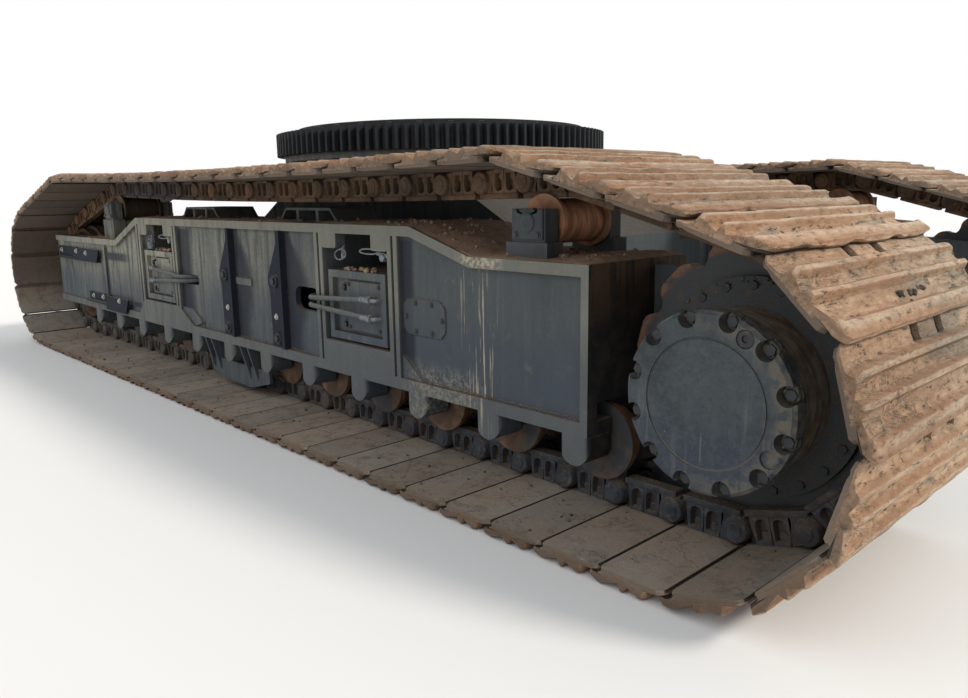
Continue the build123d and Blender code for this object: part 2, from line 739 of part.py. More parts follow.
def make_drive_mount():
    """Upright plate on the frame's end, round the drive's housing, that holds the final drive."""
    y0, y1 = -132.0, -80.0
    mount = plate([(frame_head_x, mount_low), (sprocket_x, sprocket_z - mount_r),
                   (sprocket_x, sprocket_z + mount_r), (frame_head_x, frame_head_low - 20)], y0, y1)
    mount += rod(sprocket_x, sprocket_z, mount_r, y0, y1)
    return mount - rod(sprocket_x, sprocket_z, hub_spindle_r, y0 - 1, y1 + 1)


def make_hoses():
    """Two pairs of hoses, each out of an opening in the web and over to a beam's end."""
    clear = frame_half + hose_r + hose_clear
    hoses = []
    for beam, way, way_z, end, end_z in hose_runs:
        x_out, x_in = beam_x[beam] + way, beam_x[beam] + end
        lead = math.copysign(hose_depth, x_in - x_out)
        points = [(x_out, web_outer - hose_depth, way_z), (x_out + lead, clear, way_z + 2),
                  (x_in, clear, end_z), (x_in, panel_face, end_z)]
        path = FilletPolyline(*points, radius=hose_bends)
        hoses.append(sweep(Plane(origin=path @ 0, z_dir=path % 0) * Circle(hose_r), path=path))
    return Compound(children=hoses)


def sleeve_shell():
    """Outsides of the two sleeves for the cross beams."""
    walls = []
    half = beam_width / 2 + pad_thick + sleeve_wall
    for x in beam_x:
        walls.append(block(x - half, x + half, -sleeve_half, sleeve_half,
                           beam_bottom - pad_thick - sleeve_wall,
                           beam_top + pad_thick + sleeve_wall))
    return walls


def sleeve_bore():
    """The space inside the sleeves."""
    bores = []
    half = beam_width / 2 + pad_thick
    for x in beam_x:
        bores.append(block(x - half, x + half, -sleeve_half - 5, sleeve_half + 5,
                           beam_bottom - pad_thick, beam_top + pad_thick))
    return bores


def sleeve_collars():
    """Frames round the mouths of the sleeves."""
    half = beam_width / 2 + pad_thick + sleeve_wall + collar
    low = beam_bottom - pad_thick - sleeve_wall - collar
    high = beam_top + pad_thick + sleeve_wall + collar
    return [block(x - half, x + half, *sorted((side * (sleeve_half - collar_deep), side * sleeve_half)),
                  low, high) for x in beam_x for side in (-1, 1)]


def neck_gussets():
    """Triangular ribs under the slewing ring's seat."""
    seat_z = ring_bottom - seat_plate
    reach = ring_pitch_r - seat_back - 24
    points = [(seat_neck - 10, deck_top - 5), (seat_neck + 20, deck_top - 5), (reach, seat_z - 12),
              (reach, seat_z + 2), (seat_neck - 10, seat_z + 2)]
    rib = plate(points, -neck_rib_thick / 2, neck_rib_thick / 2)
    return [Rot(0, 0, angle + turn) * rib for angle in neck_rib_angles for turn in (0, 180)]


def make_carbody():
    """Centre box with sleeves for the beams and a round seat for the slewing ring."""
    run, rise = belly_chamfer
    body = plate([(-body_half_x, body_bottom + rise), (-body_half_x + run, body_bottom),
                  (body_half_x - run, body_bottom), (body_half_x, body_bottom + rise),
                  (body_half_x, shoulder_z), (deck_half_x, deck_top), (-deck_half_x, deck_top),
                  (-body_half_x, shoulder_z)], -body_half_y, body_half_y)
    for shell in sleeve_shell() + sleeve_collars():
        body += shell
    neck = ring_bottom - seat_plate - deck_top
    body += Pos(0, 0, deck_top + neck / 2) * Cylinder(seat_neck, neck)
    body += Pos(0, 0, ring_bottom - seat_plate / 2) * Cylinder(ring_pitch_r - seat_back, seat_plate)
    for rib in neck_gussets():
        body += rib
    cover_z = body_bottom - belly_cover_thick
    body += Pos(0, 0, cover_z) * extrude(RegularPolygon(belly_cover_r, 8), belly_cover_thick + 1)
    for bore in sleeve_bore():
        body -= bore
    return body


def make_pads():
    """Wear pads in the sleeve mouths that the beams slide on."""
    pads = []
    half = beam_width / 2
    for x in beam_x:
        for side in (-1, 1):
            y0, y1 = sorted((side * (sleeve_half - 110), side * sleeve_half))
            for z0, z1 in ((beam_bottom - pad_thick, beam_bottom - pad_clear),
                           (beam_top + pad_clear, beam_top + pad_thick)):
                pads.append(block(x - half + 30, x + half - 30, y0, y1, z0, z1))
            for turn in (-1, 1):
                x0, x1 = sorted((x + turn * (half + pad_clear), x + turn * (half + pad_thick)))
                pads.append(block(x0, x1, y0, y1, beam_bottom + 30, beam_top - 30))
    return Compound(children=pads)


def ring_outline():
    """Outline of the external teeth."""
    root_r = ring_pitch_r - tooth_below * tooth_module
    tip_r = ring_pitch_r + tooth_above * tooth_module
    step = 2 * math.pi / ring_teeth
    points = []
    for index in range(ring_teeth):
        for share, radius in ((-0.36, root_r), (-0.13, tip_r), (0.13, tip_r), (0.36, root_r)):
            angle = (index + share) * step
            points.append((radius * math.cos(angle), radius * math.sin(angle), ring_bottom))
    return points


def make_ring_gear():
    """Toothed outer race of the slewing ring, fixed to the carbody."""
    gear = extrude(make_face(Polyline(*ring_outline(), close=True)), ring_height, dir=(0, 0, 1))
    return gear - Pos(0, 0, ring_bottom + ring_height / 2) * Cylinder(ring_bore_r, ring_height + 10)


def make_upper_race():
    """Inner race that turns and carries the superstructure on its bolt circle."""
    height = race_top - race_bottom
    middle = (race_top + race_bottom) / 2
    race = Cylinder(ring_bore_r - race_gap, height) - Cylinder(race_inner_r, height + 10)
    hole = Cylinder(bolt_hole_d / 2, height + 10)
    holes = [Pos(0, 0, middle) * loc * hole for loc in PolarLocations(bolt_circle_d / 2, bolt_count)]
    return Pos(0, 0, middle) * race - holes


def make_swivel():
    """Rotary joint for the crawlers' hydraulic lines: flanged tower with two rows of ports."""
    height = swivel_top - ring_bottom
    tower = Pos(0, 0, ring_bottom + height / 2) * Cylinder(swivel_r, height)
    for z in (ring_bottom + swivel_flange / 2, swivel_top - swivel_flange * 1.5):
        tower += Pos(0, 0, z) * Cylinder(swivel_flange_r, swivel_flange)
    for row, z in enumerate((ring_bottom + 58, ring_bottom + 102)):
        for index in range(4):
            port = Pos(swivel_r + 12, 0, 0) * Rot(0, 90, 0) * Cylinder(port_r, 36)
            tower += Pos(0, 0, z) * Rot(0, 0, 90 * index + 45 * row + 20) * port
    return tower


def for_both(name, make):
    """Writes a piece for the far crawler and its mirror image for the near one."""
    far = Pos(0, crawler_y, 0) * make()
    write("far_" + name, far)
    write("near_" + name, mirror(far, about=Plane.XZ))


def write(name, shape):
    export_step(shape, "parts/" + name + ".step")


def main():
    os.makedirs("parts", exist_ok=True)
    for name, make in (
        ("shoes", make_shoes), ("chain", make_chain), ("idler", make_idler),
        ("sprocket", make_sprocket), ("final_drive", make_final_drive),
        ("side_frame", make_side_frame), ("roller_mounts", make_roller_mounts),
        ("bottom_rollers", make_bottom_rollers), ("carrier_rollers", make_carrier_rollers),
        ("carrier_blocks", make_carrier_blocks), ("chain_guide", make_chain_guide),
        ("cross_beams", make_cross_beams), ("guide_bars", make_guide_bars),
        ("steps", make_steps), ("skid_plates", make_skid_plates),
        ("drive_mount", make_drive_mount), ("hoses", make_hoses),
    ):
        for_both(name, make)
    write("carbody", make_carbody())
    write("wear_pads", make_pads())
    write("ring_gear", make_ring_gear())
    write("upper_race", make_upper_race())
    write("swivel", make_swivel())


main()
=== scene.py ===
import math
import bpy
import numpy as np
from mathutils import Matrix, Vector


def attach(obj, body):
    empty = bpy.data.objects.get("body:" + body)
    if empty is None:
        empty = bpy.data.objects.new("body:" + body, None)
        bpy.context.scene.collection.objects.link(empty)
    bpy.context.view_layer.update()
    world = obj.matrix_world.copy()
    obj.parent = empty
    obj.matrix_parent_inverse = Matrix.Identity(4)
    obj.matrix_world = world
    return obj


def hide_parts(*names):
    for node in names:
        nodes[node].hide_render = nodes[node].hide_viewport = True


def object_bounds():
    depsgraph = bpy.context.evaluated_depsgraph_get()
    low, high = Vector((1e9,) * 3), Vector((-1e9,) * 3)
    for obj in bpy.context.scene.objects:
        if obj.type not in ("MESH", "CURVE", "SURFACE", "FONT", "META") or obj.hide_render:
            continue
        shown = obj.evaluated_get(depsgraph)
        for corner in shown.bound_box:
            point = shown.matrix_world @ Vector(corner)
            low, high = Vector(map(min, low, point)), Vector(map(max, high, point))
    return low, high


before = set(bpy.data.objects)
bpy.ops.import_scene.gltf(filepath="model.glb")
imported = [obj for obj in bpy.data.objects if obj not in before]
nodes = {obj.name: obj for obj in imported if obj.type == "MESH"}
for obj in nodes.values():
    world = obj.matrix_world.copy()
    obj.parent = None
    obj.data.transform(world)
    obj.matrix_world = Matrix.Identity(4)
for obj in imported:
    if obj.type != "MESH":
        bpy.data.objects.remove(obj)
cadBox = [list(corner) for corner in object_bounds()]

# Metres. +X runs to the drive sprockets, the near crawler is at -Y, +Z is up.
layout = {"gauge": 2.3, "sprocketX": 2.727, "idlerX": -2.758, "pitch": 0.2159, "pinLow": 0.094}
pitch = layout["pitch"]


# Mesh helpers. A shape is (points, quads, triangles), all as arrays.

def joinShapes(shapes):
    # one shape from several, with the face numbers moved on
    points, quads, tris, start = [], [], [], 0
    for shape in shapes:
        points.append(shape[0])
        quads.append(shape[1] + start)
        tris.append(shape[2] + start)
        start += len(shape[0])
    return np.concatenate(points), np.concatenate(quads), np.concatenate(tris)


def gridFaces(rows, columns, closeRows, closeColumns):
    # quads between neighbours on a grid of rows by columns, wrapped round where it closes
    r = np.arange(rows if closeRows else rows - 1)
    c = np.arange(columns if closeColumns else columns - 1)
    rr, cc = np.meshgrid(r, c, indexing="ij")
    r1, c1 = (rr + 1) % rows, (cc + 1) % columns
    faces = np.stack([rr * columns + cc, r1 * columns + cc, r1 * columns + c1, rr * columns + c1], -1)
    return faces.reshape(-1, 4)


def outward(shape):
    # turns every face over if the closed shape is inside out: if its signed volume, the sum of
    # each triangle's corner product, is less than nothing
    points, quads, tris = shape
    middled = points - points.mean(0)
    corners = np.concatenate([quads[:, [0, 1, 2]], quads[:, [0, 2, 3]], tris])
    a, b, c = (middled[corners[:, index]] for index in range(3))
    if np.einsum("ij,ij->i", a, np.cross(b, c)).sum() < 0:
        quads, tris = quads[:, ::-1], tris[:, ::-1]
    return points, quads, tris


def mirrored(shape):
    # the same shape on the other side of Y = 0
    return shape[0] * np.array([1, -1, 1]), shape[1][:, ::-1], shape[2][:, ::-1]


def skinFaces(count, around):
    # faces of a skin over rings of points, with a fan to one more point at each end
    i = np.arange(around)
    j = (i + 1) % around
    end = (count - 1) * around
    first = np.stack([np.full(around, count * around), i, j], -1)
    last = np.stack([np.full(around, count * around + 1), end + j, end + i], -1)
    return gridFaces(count, around, False, True), np.concatenate([first, last])


def capped(rings):
    # a closed skin over rings of points, each the same count, with a fan at both ends
    rings = np.array(rings)
    ends = np.stack([rings[0].mean(0), rings[-1].mean(0)])
    return outward((np.concatenate([rings.reshape(-1, 3), ends]), *skinFaces(*rings.shape[:2])))


def ringShape(rings):
    # a closed skin over rings that come back to the first one, as a frame round a hole
    rings = np.array(rings)
    faces = gridFaces(*rings.shape[:2], True, True)
    return outward((rings.reshape(-1, 3), faces, np.zeros((0, 3), int)))


def level(flat, y):
    # points given as (x, z), all at one Y
    return np.column_stack([flat[:, 0], np.full(len(flat), y), flat[:, 1]])


def rounded(outline, levels):
    # a solid along Y: the outline (n, 2) drawn in by each level's inset, at its height
    middle = outline.mean(0)
    reach = np.linalg.norm(outline - middle, axis=1, keepdims=True)
    return capped([level(middle + (outline - middle) * np.maximum(reach - inset, 0) / reach, height)
                   for height, inset in levels])


def circlePoints(x, z, radius, count):
    a = np.arange(count) * 2 * math.pi / count
    return np.column_stack([x + radius * np.cos(a), z + radius * np.sin(a)])


def lathe(profile, x, z, count):
    # (distance along Y, radius) points turned about an axle along Y through (x, z)
    return capped([level(circlePoints(x, z, radius, count), y) for y, radius in profile])


def slab(x0, x1, y0, y1, z0, z1, bevel):
    # a box with its edges along Y chamfered and its faces drawn in a little at both ends
    c = bevel
    outline = np.array([(x0 + c, z0), (x1 - c, z0), (x1, z0 + c), (x1, z1 - c),
                        (x1 - c, z1), (x0 + c, z1), (x0, z1 - c), (x0, z0 + c)])
    middle = np.array([(x0 + x1) / 2, (z0 + z1) / 2])
    half = np.array([(x1 - x0) / 2, (z1 - z0) / 2])
    return capped([level(middle + (outline - middle) * (half - inset) / half, y)
                   for y, inset in ((y0, c), (y0 + c, 0), (y1 - c, 0), (y1, c))])


def repeated(shape, placed):
    # one shape's faces copied over (times, n, 3) placed points
    step = (np.arange(len(placed)) * len(shape[0]))[:, None, None]
    quads = (shape[1][None] + step).reshape(-1, 4)
    tris = (shape[2][None] + step).reshape(-1, 3)
    return outward((placed.reshape(-1, 3), quads, tris))


def copies(shape, places, turns=0, sizes=1):
    # one shape at many places, each turned about Y by its angle t: x' = x cos t + z sin t
    places = np.atleast_2d(np.asarray(places, float))
    turns = np.broadcast_to(turns, len(places))[:, None]
    sizes = np.broadcast_to(sizes, len(places))[:, None]
    x, y, z = (shape[0][None, :, axis] * sizes for axis in range(3))
    c, s = np.cos(turns), np.sin(turns)
    return repeated(shape, np.stack([x * c + z * s, y, z * c - x * s], -1) + places[:, None, :])


def tube(path, radii, around):
    # a round skin along a line of points, its radius given for each of them
    path = np.asarray(path, float)
    radii = np.broadcast_to(radii, len(path))
    along = np.gradient(path, axis=0)
    along /= np.linalg.norm(along, axis=1, keepdims=True)
    helper = np.where(np.abs(along[:, 1:2]) > 0.9, [[1, 0, 0]], [[0, 1, 0]])
    side = np.cross(along, helper)
    side /= np.linalg.norm(side, axis=1, keepdims=True)
    top = np.cross(side, along)
    a = np.arange(around) * 2 * math.pi / around
    ring = side[:, None] * np.cos(a)[None, :, None] + top[:, None] * np.sin(a)[None, :, None]
    return capped(path[:, None] + ring * radii[:, None, None])


def toMesh(name, shape, body, finish, slot, smooth=40, values=None):
    # a Blender object from a shape, riding on a body; its edges are sharp above an angle
    points, quads, tris = shape
    mesh = bpy.data.meshes.new(name)
    mesh.from_pydata(points, [], quads.tolist() + tris.tolist())
    for key, numbers in (values or {}).items():
        mesh.attributes.new(key, "FLOAT", "POINT").data.foreach_set("value", numbers.astype(np.float32))
    piece = bpy.data.objects.new(name, mesh)
    bpy.context.scene.collection.objects.link(piece)
    mesh.materials.append(finishes[finish])
    mesh.shade_smooth()
    mesh.set_sharp_from_angle(angle=math.radians(smooth))
    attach(piece, body)
    return piece


def onCrawler(side, name, shapes, *looks):
    # one object from shapes in a crawler's own frame, Y outwards from its chain's centre plane
    points, quads, tris = joinShapes(shapes)
    whole = (points + [0, layout["gauge"] / 2, 0], quads, tris)
    return toMesh(side + name, whole if side == "far" else mirrored(whole), side + "_crawler", *looks)


# The pin line: one pin a link round sprocket, top run, idler and bottom run.

loop = {"idlerR": 0.412, "headBreakX": 2.097, "headPinZ": 1.11, "tailBreakX": -1.933, "tailPinZ": 1.137,
        "breakR": 0.162, "sag": 0.025, "teeth": 12, "steps": 60}
sprocketR = pitch / (2 * math.sin(math.pi / loop["teeth"]))
sprocketZ = layout["pinLow"] + sprocketR


def pinLine():
    # arcs round both wheels count as the chords of the links on them
    low, bend, steps = layout["pinLow"], loop["breakR"], loop["steps"]
    circles = [(layout["sprocketX"], sprocketZ, sprocketR),
               (loop["headBreakX"], loop["headPinZ"] - bend, bend),
               (loop["tailBreakX"], loop["tailPinZ"] - bend, bend),
               (layout["idlerX"], low + loop["idlerR"], loop["idlerR"])]
    turns = [-math.pi / 2]
    for (x0, z0, r0), (x1, z1, r1) in zip(circles, circles[1:]):
        run = math.hypot(x1 - x0, z1 - z0)
        heading = math.atan2(z1 - z0, x1 - x0)
        turns.append((heading - math.pi / 2 + math.asin((r0 - r1) / run)) % (2 * math.pi))
    turns.append(math.pi * 1.5)
    path, shares = [], []
    for index, (x, z, r) in enumerate(circles):
        a = np.linspace(turns[index], turns[index + 1], steps + 1)
        path.append(np.column_stack([x + r * np.cos(a), z + r * np.sin(a)]))
        chord = pitch / (2 * r * math.asin(pitch / 2 / r)) if index in (0, 3) else 1
        shares.append(np.concatenate([[1], np.full(steps, chord)]))
        if index == 1:
            # the top run hangs in a shallow parabola between both breaks
            a = turns[2]
            end = np.array([circles[2][0] + bend * math.cos(a), circles[2][1] + bend * math.sin(a)])
            part = np.linspace(0, 1, steps + 1)[1:-1, None]
            dip = np.column_stack([0 * part, 4 * loop["sag"] * part * (1 - part)])
            path.append(path[-1][-1] * (1 - part) + end * part - dip)
            shares.append(np.ones(steps - 1))
    path = np.concatenate(path + [path[0][:1]])
    shares = np.concatenate(shares + [[1]])
    lengths = np.linalg.norm(np.diff(path, axis=0), axis=1) * shares[1:]
    reach = np.concatenate([[0], np.cumsum(lengths)])
    count = round(reach[-1] / pitch)
    at = np.arange(count) * reach[-1] / count
    return np.column_stack([np.interp(at, reach, path[:, 0]), np.interp(at, reach, path[:, 1])])


pins = pinLine()
links = len(pins)
nextPins = np.roll(pins, -1, axis=0)
linkLength = np.linalg.norm(nextPins - pins, axis=1)
linkAlong = (nextPins - pins) / linkLength[:, None]
linkOut = np.column_stack([linkAlong[:, 1], -linkAlong[:, 0]])


def onLinks(local, shift=0):
    # local (n, 3) points of (share of the link, Y, distance out) placed on every link, as (links, n, 3)
    local = np.broadcast_to(local, (links,) + local.shape[-2:]) + shift
    along = local[..., 0] * linkLength[:, None]
    x = pins[:, None, 0] + linkAlong[:, None, 0] * along + linkOut[:, None, 0] * local[..., 2]
    z = pins[:, None, 1] + linkAlong[:, None, 1] * along + linkOut[:, None, 1] * local[..., 2]
    return np.stack([x, local[..., 1], z], -1)


def softNoise(points, seed, size):
    # smooth noise from -1 to 1: a sum of twelve sine waves in random directions
    rng = np.random.default_rng(seed)
    total = np.zeros(points.shape[:-1])
    for strength in np.linspace(1, 0.4, 12):
        wave = rng.normal(size=3) * 2.2 / size
        total += strength * np.sin(points @ wave + rng.uniform(0, 2 * math.pi))
    return np.tanh(total / 2.4)


# Track shoes: a profile along the link carried across the track's width.

shoe = {"width": 1, "seat": 0.042, "plate": 0.016, "chamfer": 0.02, "slotY": 0.084, "slotHalf": 0.02,
        "slotDeep": 0.014, "mud": 0.012, "stations": 32, "worn": 0.01, "rubbed": 0.22, "dent": 0.003,
        "lean": 0.0015, "lapFrom": 0.87, "lapOver": 0.05, "ground": 0.0002, "margin": 0.0004}


def shoeProfile():
    # closed (share, height over the seat, ridge) profile: lap over the last shoe, three flat-topped
    # grousers, and the lip under the next shoe, whose edge follows a circle about the next pin
    seat = shoe["seat"]

    def arc(radius, angles, centre, ridge):
        return [(centre + radius * math.sin(a) / pitch, radius * math.cos(a) - seat, ridge) for a in angles]

    lap = [(-0.02 / pitch, 0.019, 0), (-0.025 / pitch, 0.026, 0), (-0.022 / pitch, 0.04, .6)]
    tops = [(0.016, 0.0505, 1), (0.072, 0.052, 1), (0.096, 0.045, .6), (0.148, 0.0235, 0), (0.22, 0.0205, 0),
            (0.32, 0.0205, 0), (0.372, 0.0235, 0), (0.408, 0.045, .6), (0.425, 0.0515, 1), (0.474, 0.0515, 1),
            (0.492, 0.045, .6), (0.535, 0.0235, 0), (0.6, 0.0205, 0), (0.665, 0.0225, 0), (0.712, 0.042, .6),
            (0.728, 0.0495, 1), (0.782, 0.0495, 1), (0.806, 0.041, .6), (0.852, 0.0205, 0), (0.93, 0.0172, 0),
            (1, 0.0168, 0)]
    lip = arc(seat + 0.0165, (0.12, 0.22, 0.3), 1, 0) + arc(seat + 0.003, (0.3, 0.15, 0), 1, -1)
    flat = [(0.9, 0, -1), (0.62, 0, -1), (0.36, 0, -1), (0.104, 0, -1), (0.084, 0.0035, -1)]
    pocket = arc(seat + 0.0185, (0.34, 0.17, 0, -0.18), 0, -1)
    points = np.array(lap + tops + lip + flat + pocket)
    points[:, 1] += seat
    return points


def shoeStations():
    # places across the shoe: close together at both ends and at the slots over the links
    half, slot = shoe["width"] / 2, shoe["slotY"]
    edge = np.array([0, 0.004, 0.012, 0.024, 0.055])
    inner = np.linspace(half - 0.105, -half + 0.105, shoe["stations"] - 10)
    sides = np.array([slot - 0.026, slot - 0.019, slot + 0.019, slot + 0.026])
    return np.sort(np.concatenate([half - edge, inner, -half + edge, sides, -sides]))


def makeTrackShoes(side):
    profile, places = shoeProfile(), shoeStations()
    count = len(profile)
    share, out, ridge = (np.tile(profile[:, column], len(places)) for column in range(3))
    y = np.repeat(places, count)
    fromEnd = shoe["width"] / 2 - np.abs(y)
    # the corners are cut at 45 degrees, and the grousers are rubbed down a little at both ends
    keep = 1 - 2 * np.clip(shoe["chamfer"] - fromEnd, 0, None) / pitch * 0.9
    share = 0.5 + (share - 0.5) * keep
    fade = np.clip(fromEnd / shoe["worn"], 0, 1) ** 0.5
    low = shoe["seat"] + shoe["plate"] - 0.002
    out = np.where(ridge >= 0, low + (out - low) * (1 - shoe["rubbed"] * (1 - fade)), out)
    slot = (np.abs(np.abs(y) - shoe["slotY"]) < shoe["slotHalf"]) & (share > 0.85) & (ridge >= 0)
    out = np.where(slot, out - shoe["slotDeep"], out)
    # dents and mud, different on every shoe
    seed = 11 if side == "near" else 23
    spread = np.arange(links)[:, None] * 7.3
    spot = np.stack(np.broadcast_arrays(share * pitch + spread, y, out), -1)
    valley = np.clip(1 - ridge, 0, 1) * ((ridge >= 0) & ~slot)
    lumps = softNoise(spot, seed, 0.15) + 0.4 * softNoise(spot, seed + 1, 0.05)
    # packed clay fills the valleys, thin where the next shoe laps over
    bare = np.clip((shoe["lapFrom"] - share) / shoe["lapOver"], 0.2, 1)
    mud = np.clip(lumps * 0.8 + 0.42, 0, 1) * valley * bare * shoe["mud"]
    wear = np.clip(softNoise(spot, seed + 2, 0.16), 0, 1) * (ridge > 0.5) * shoe["dent"]
    ragged = softNoise(spot, seed + 3, 0.035) * np.exp(-fromEnd / shoe["worn"]) * shoe["dent"]
    lean = np.random.default_rng(seed + 4).uniform(-1, 1, (links, 2, 1))
    shift = np.zeros(spot.shape)
    shift[..., 1] = -np.abs(ragged) * np.sign(y)
    shift[..., 2] = mud - wear - np.abs(lean[:, 0]) * shoe["lean"] * (y * lean[:, 1] + 0.5)
    placed = onLinks(np.column_stack([share, y, out]), shift)
    # the ground holds the lowest tips, and nothing stands out past the CAD model's ends
    margin = shoe["margin"]
    placed[..., 2] = np.maximum(placed[..., 2], shoe["ground"])
    placed[..., 0] = np.clip(placed[..., 0], cadBox[0][0] + margin, cadBox[1][0] - margin)
    ends = np.stack([placed[:, :count].mean(1), placed[:, -count:].mean(1)], 1)
    full = np.concatenate([placed, ends], 1)

    def stored(numbers, end):
        # a number for each point of every shoe, and one for the middles of its ends
        numbers = np.broadcast_to(numbers, (links, len(y)))
        return np.concatenate([numbers, np.full((links, 2), end)], 1).ravel()

    # mud is over 1 in the slots, and over 3 where two shoes hide one another, which the finish paints black
    # as shade
    hidden = (ridge < 0) & ((share > 1.045) | (share < 0.1))
    values = {"ridge": stored(ridge, 0.3), "mud": stored(mud / shoe["mud"] + 2 * slot + 4 * hidden, 0),
              "number": np.repeat(np.arange(links) * 0.37 % 1, full.shape[1])}
    whole = repeated((full[0], *skinFaces(len(places), count)), full)
    piece = onCrawler(side, "TrackShoes", [whole], "shoe", "shoe_steel", 35, values)
    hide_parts(side + "_shoes")


# Chain links: a back plate, two windows with a nut in each, a pin boss and a rail head.

link = {"railIn": 0.062, "railOut": 0.106, "rail": -0.062, "railDeep": 0.02, "seat": 0.042, "bossR": 0.04,
        "bossOut": 0.12, "webOut": 0.102, "webBack": 0.076, "windowAt": (0.365, 0.615), "windowHalf": 0.017,
        "windowLow": 0.028, "windowHigh": -0.032, "bushingR": 0.031, "round": 16}


def archPoints(middle):
    # an arched window: flat towards the shoe, round towards the rail, as (along, out) points
    half, low, high = link["windowHalf"], link["windowLow"], link["windowHigh"]
    a = np.linspace(0, math.pi, link["round"] - 3)
    arch = np.column_stack([middle + half * np.cos(a), high + half * 1.2 - half * 1.2 * np.sin(a)])
    foot = np.array([(middle - half, low), (middle, low), (middle + half, low)])
    return np.concatenate([arch, foot])


def cellPoints(hole, left, right, low, high):
    # the cell's border met by rays from the middle of the hole, one for each of its points
    middle = np.array([hole[:, 0].mean(), (hole[:, 1].min() + hole[:, 1].max()) / 2])
    ray = hole - middle
    over = np.array([right, high]) - middle
    under = middle - np.array([left, low])
    size = np.where(ray > 0, ray / over, -ray / under).max(1)
    return middle + ray / size[:, None]


def linkSide():
    # the rail on the +Y side of a link, with X as a share of the link
    start, end = 0.2 * pitch, 0.8 * pitch
    middle = sum(link["windowAt"]) / 2 * pitch
    out, back, seat = link["webOut"], link["webBack"], link["seat"]
    inside, outside, face = link["railIn"], link["railOut"], link["bossOut"]
    shapes = []
    levels = ((0, back - 0.01), (0, out - 0.006), (0.16, out), (0.9, out), (1, out - 0.003),
              (1, back - 0.01))
    for at, left, right in zip(link["windowAt"], (start, middle), (middle, end)):
        hole = archPoints(at * pitch)
        border = cellPoints(hole, left, right, -0.048, seat)
        shapes.append(ringShape([level(hole * (1 - share) + border * share, y) for share, y in levels]))
        nut = circlePoints(at * pitch, 0.018, 0.0145, 6)
        shapes.append(rounded(nut, ((back - 0.002, 0), (back + 0.01, 0), (back + 0.012, 0.002))))
    # back plate behind the windows
    shapes.append(slab(start - 0.02, end + 0.02, inside + 0.002, back, -0.052, seat, 0.002))
    # rail head, stepped where it laps the next link
    rail, under = link["rail"], link["rail"] + link["railDeep"]
    shapes.append(slab(0.16 * pitch, 1.04 * pitch, inside - 0.004, outside + 0.002, rail, under, 0.003))
    # boss round the pin at the far end, and the narrower eye at the near end
    boss = circlePoints(pitch, -0.004, link["bossR"], 18) * [1, 1.06]
    shapes.append(rounded(boss, ((inside, 0), (face - 0.01, 0), (face - 0.002, 0.004), (face, 0.01),
                                 (face, 0.018), (face + 0.003, 0.02), (face + 0.003, 0.03))))
    neck = np.array([(end - 0.012, -0.046), (pitch + 0.02, -0.046), (pitch + 0.034, -0.002),
                     (pitch + 0.02, 0.034), (end - 0.012, seat)])
    shapes.append(rounded(neck, ((inside, 0), (out - 0.004, 0), (out, 0.004))))
    eye = circlePoints(0, 0, 0.036, 12)
    shapes.append(rounded(eye, ((inside - 0.014, 0), (inside + 0.006, 0))))
    points, quads, tris = joinShapes(shapes)
    return points / [pitch, 1, 1], quads, tris


def makeTrackChain(side):
    rail = linkSide()
    half, radius = link["railIn"] - 0.004, link["bushingR"]
    # the bushing's X counts as a share of the link, so that it is a narrow oval between the rails
    bushing = lathe([(-half, radius), (half, radius)], 0, 0, 14)
    shapes = [repeated(shape, onLinks(shape[0])) for shape in (rail, mirrored(rail), bushing)]
    piece = onCrawler(side, "TrackChain", shapes, "chain", "chain_steel", 38)
    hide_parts(side + "_chain")


print("track helpers ready: %d links" % links)


# Shader maths: a wrapped socket, where arithmetic adds Math nodes.

class Sock:
    def __init__(self, tree, out):
        self.tree = tree
        self.out = out

    def node(self, kind, settings, inputs, pick=0):
        # any shader node: its settings first, then values or links for its sockets
        made = self.tree.nodes.new("ShaderNode" + kind)
        for key, value in settings.items():
            setattr(made, key, value)
        for key, value in inputs.items():
            if isinstance(value, Sock):
                self.tree.links.new(value.out, made.inputs[key])
            else:
                made.inputs[key].default_value = value
        return Sock(self.tree, made.outputs[pick])

    def calc(self, operation, first, second, clamp=False):
        return self.node("Math", {"operation": operation, "use_clamp": clamp}, {0: first, 1: second})

    def __add__(self, other):
        return self.calc("ADD", self, other)

    def __sub__(self, other):
        return self.calc("SUBTRACT", self, other)

    def __rsub__(self, other):
        return self.calc("SUBTRACT", other, self)

    def __mul__(self, other):
        return self.calc("MULTIPLY", self, other)

    __radd__, __rmul__ = __add__, __mul__

    def clamp(self):
        return self.calc("ADD", self, 0, True)

    def step(self, low, high):
        # a soft step from 0 at low to 1 at high
        return self.node("MapRange", {"interpolation_type": "SMOOTHSTEP"},
                         {"Value": self, "From Min": low, "From Max": high})

    def fall(self, low, high):
        return 1 - self.step(low, high)

    def band(self, low, high, soft):
        # 1 between two values, fading over soft inside them
        return self.step(low, low + soft) * self.fall(high - soft, high)

    def stretched(self, x, y, z):
        return self.node("Mapping", {}, {"Vector": self, "Scale": (x, y, z)})

    def noise(self, scale, detail=4, rough=0.55, twist=0):
        return self.node("TexNoise", {}, {"Vector": self, "Scale": scale, "Detail": detail,
                                          "Roughness": rough, "Distortion": twist})

    def axis(self, index):
        return self.node("SeparateXYZ", {}, {0: self}, index)

    def size(self):
        # how large it is, whatever its sign
        return self.calc("ABSOLUTE", self, 0)

    def blend(self, mask, other):
        # this colour, with another where the mask is 1
        return self.node("Mix", {"data_type": "RGBA"}, {0: mask, 6: self, 7: other}, 2)


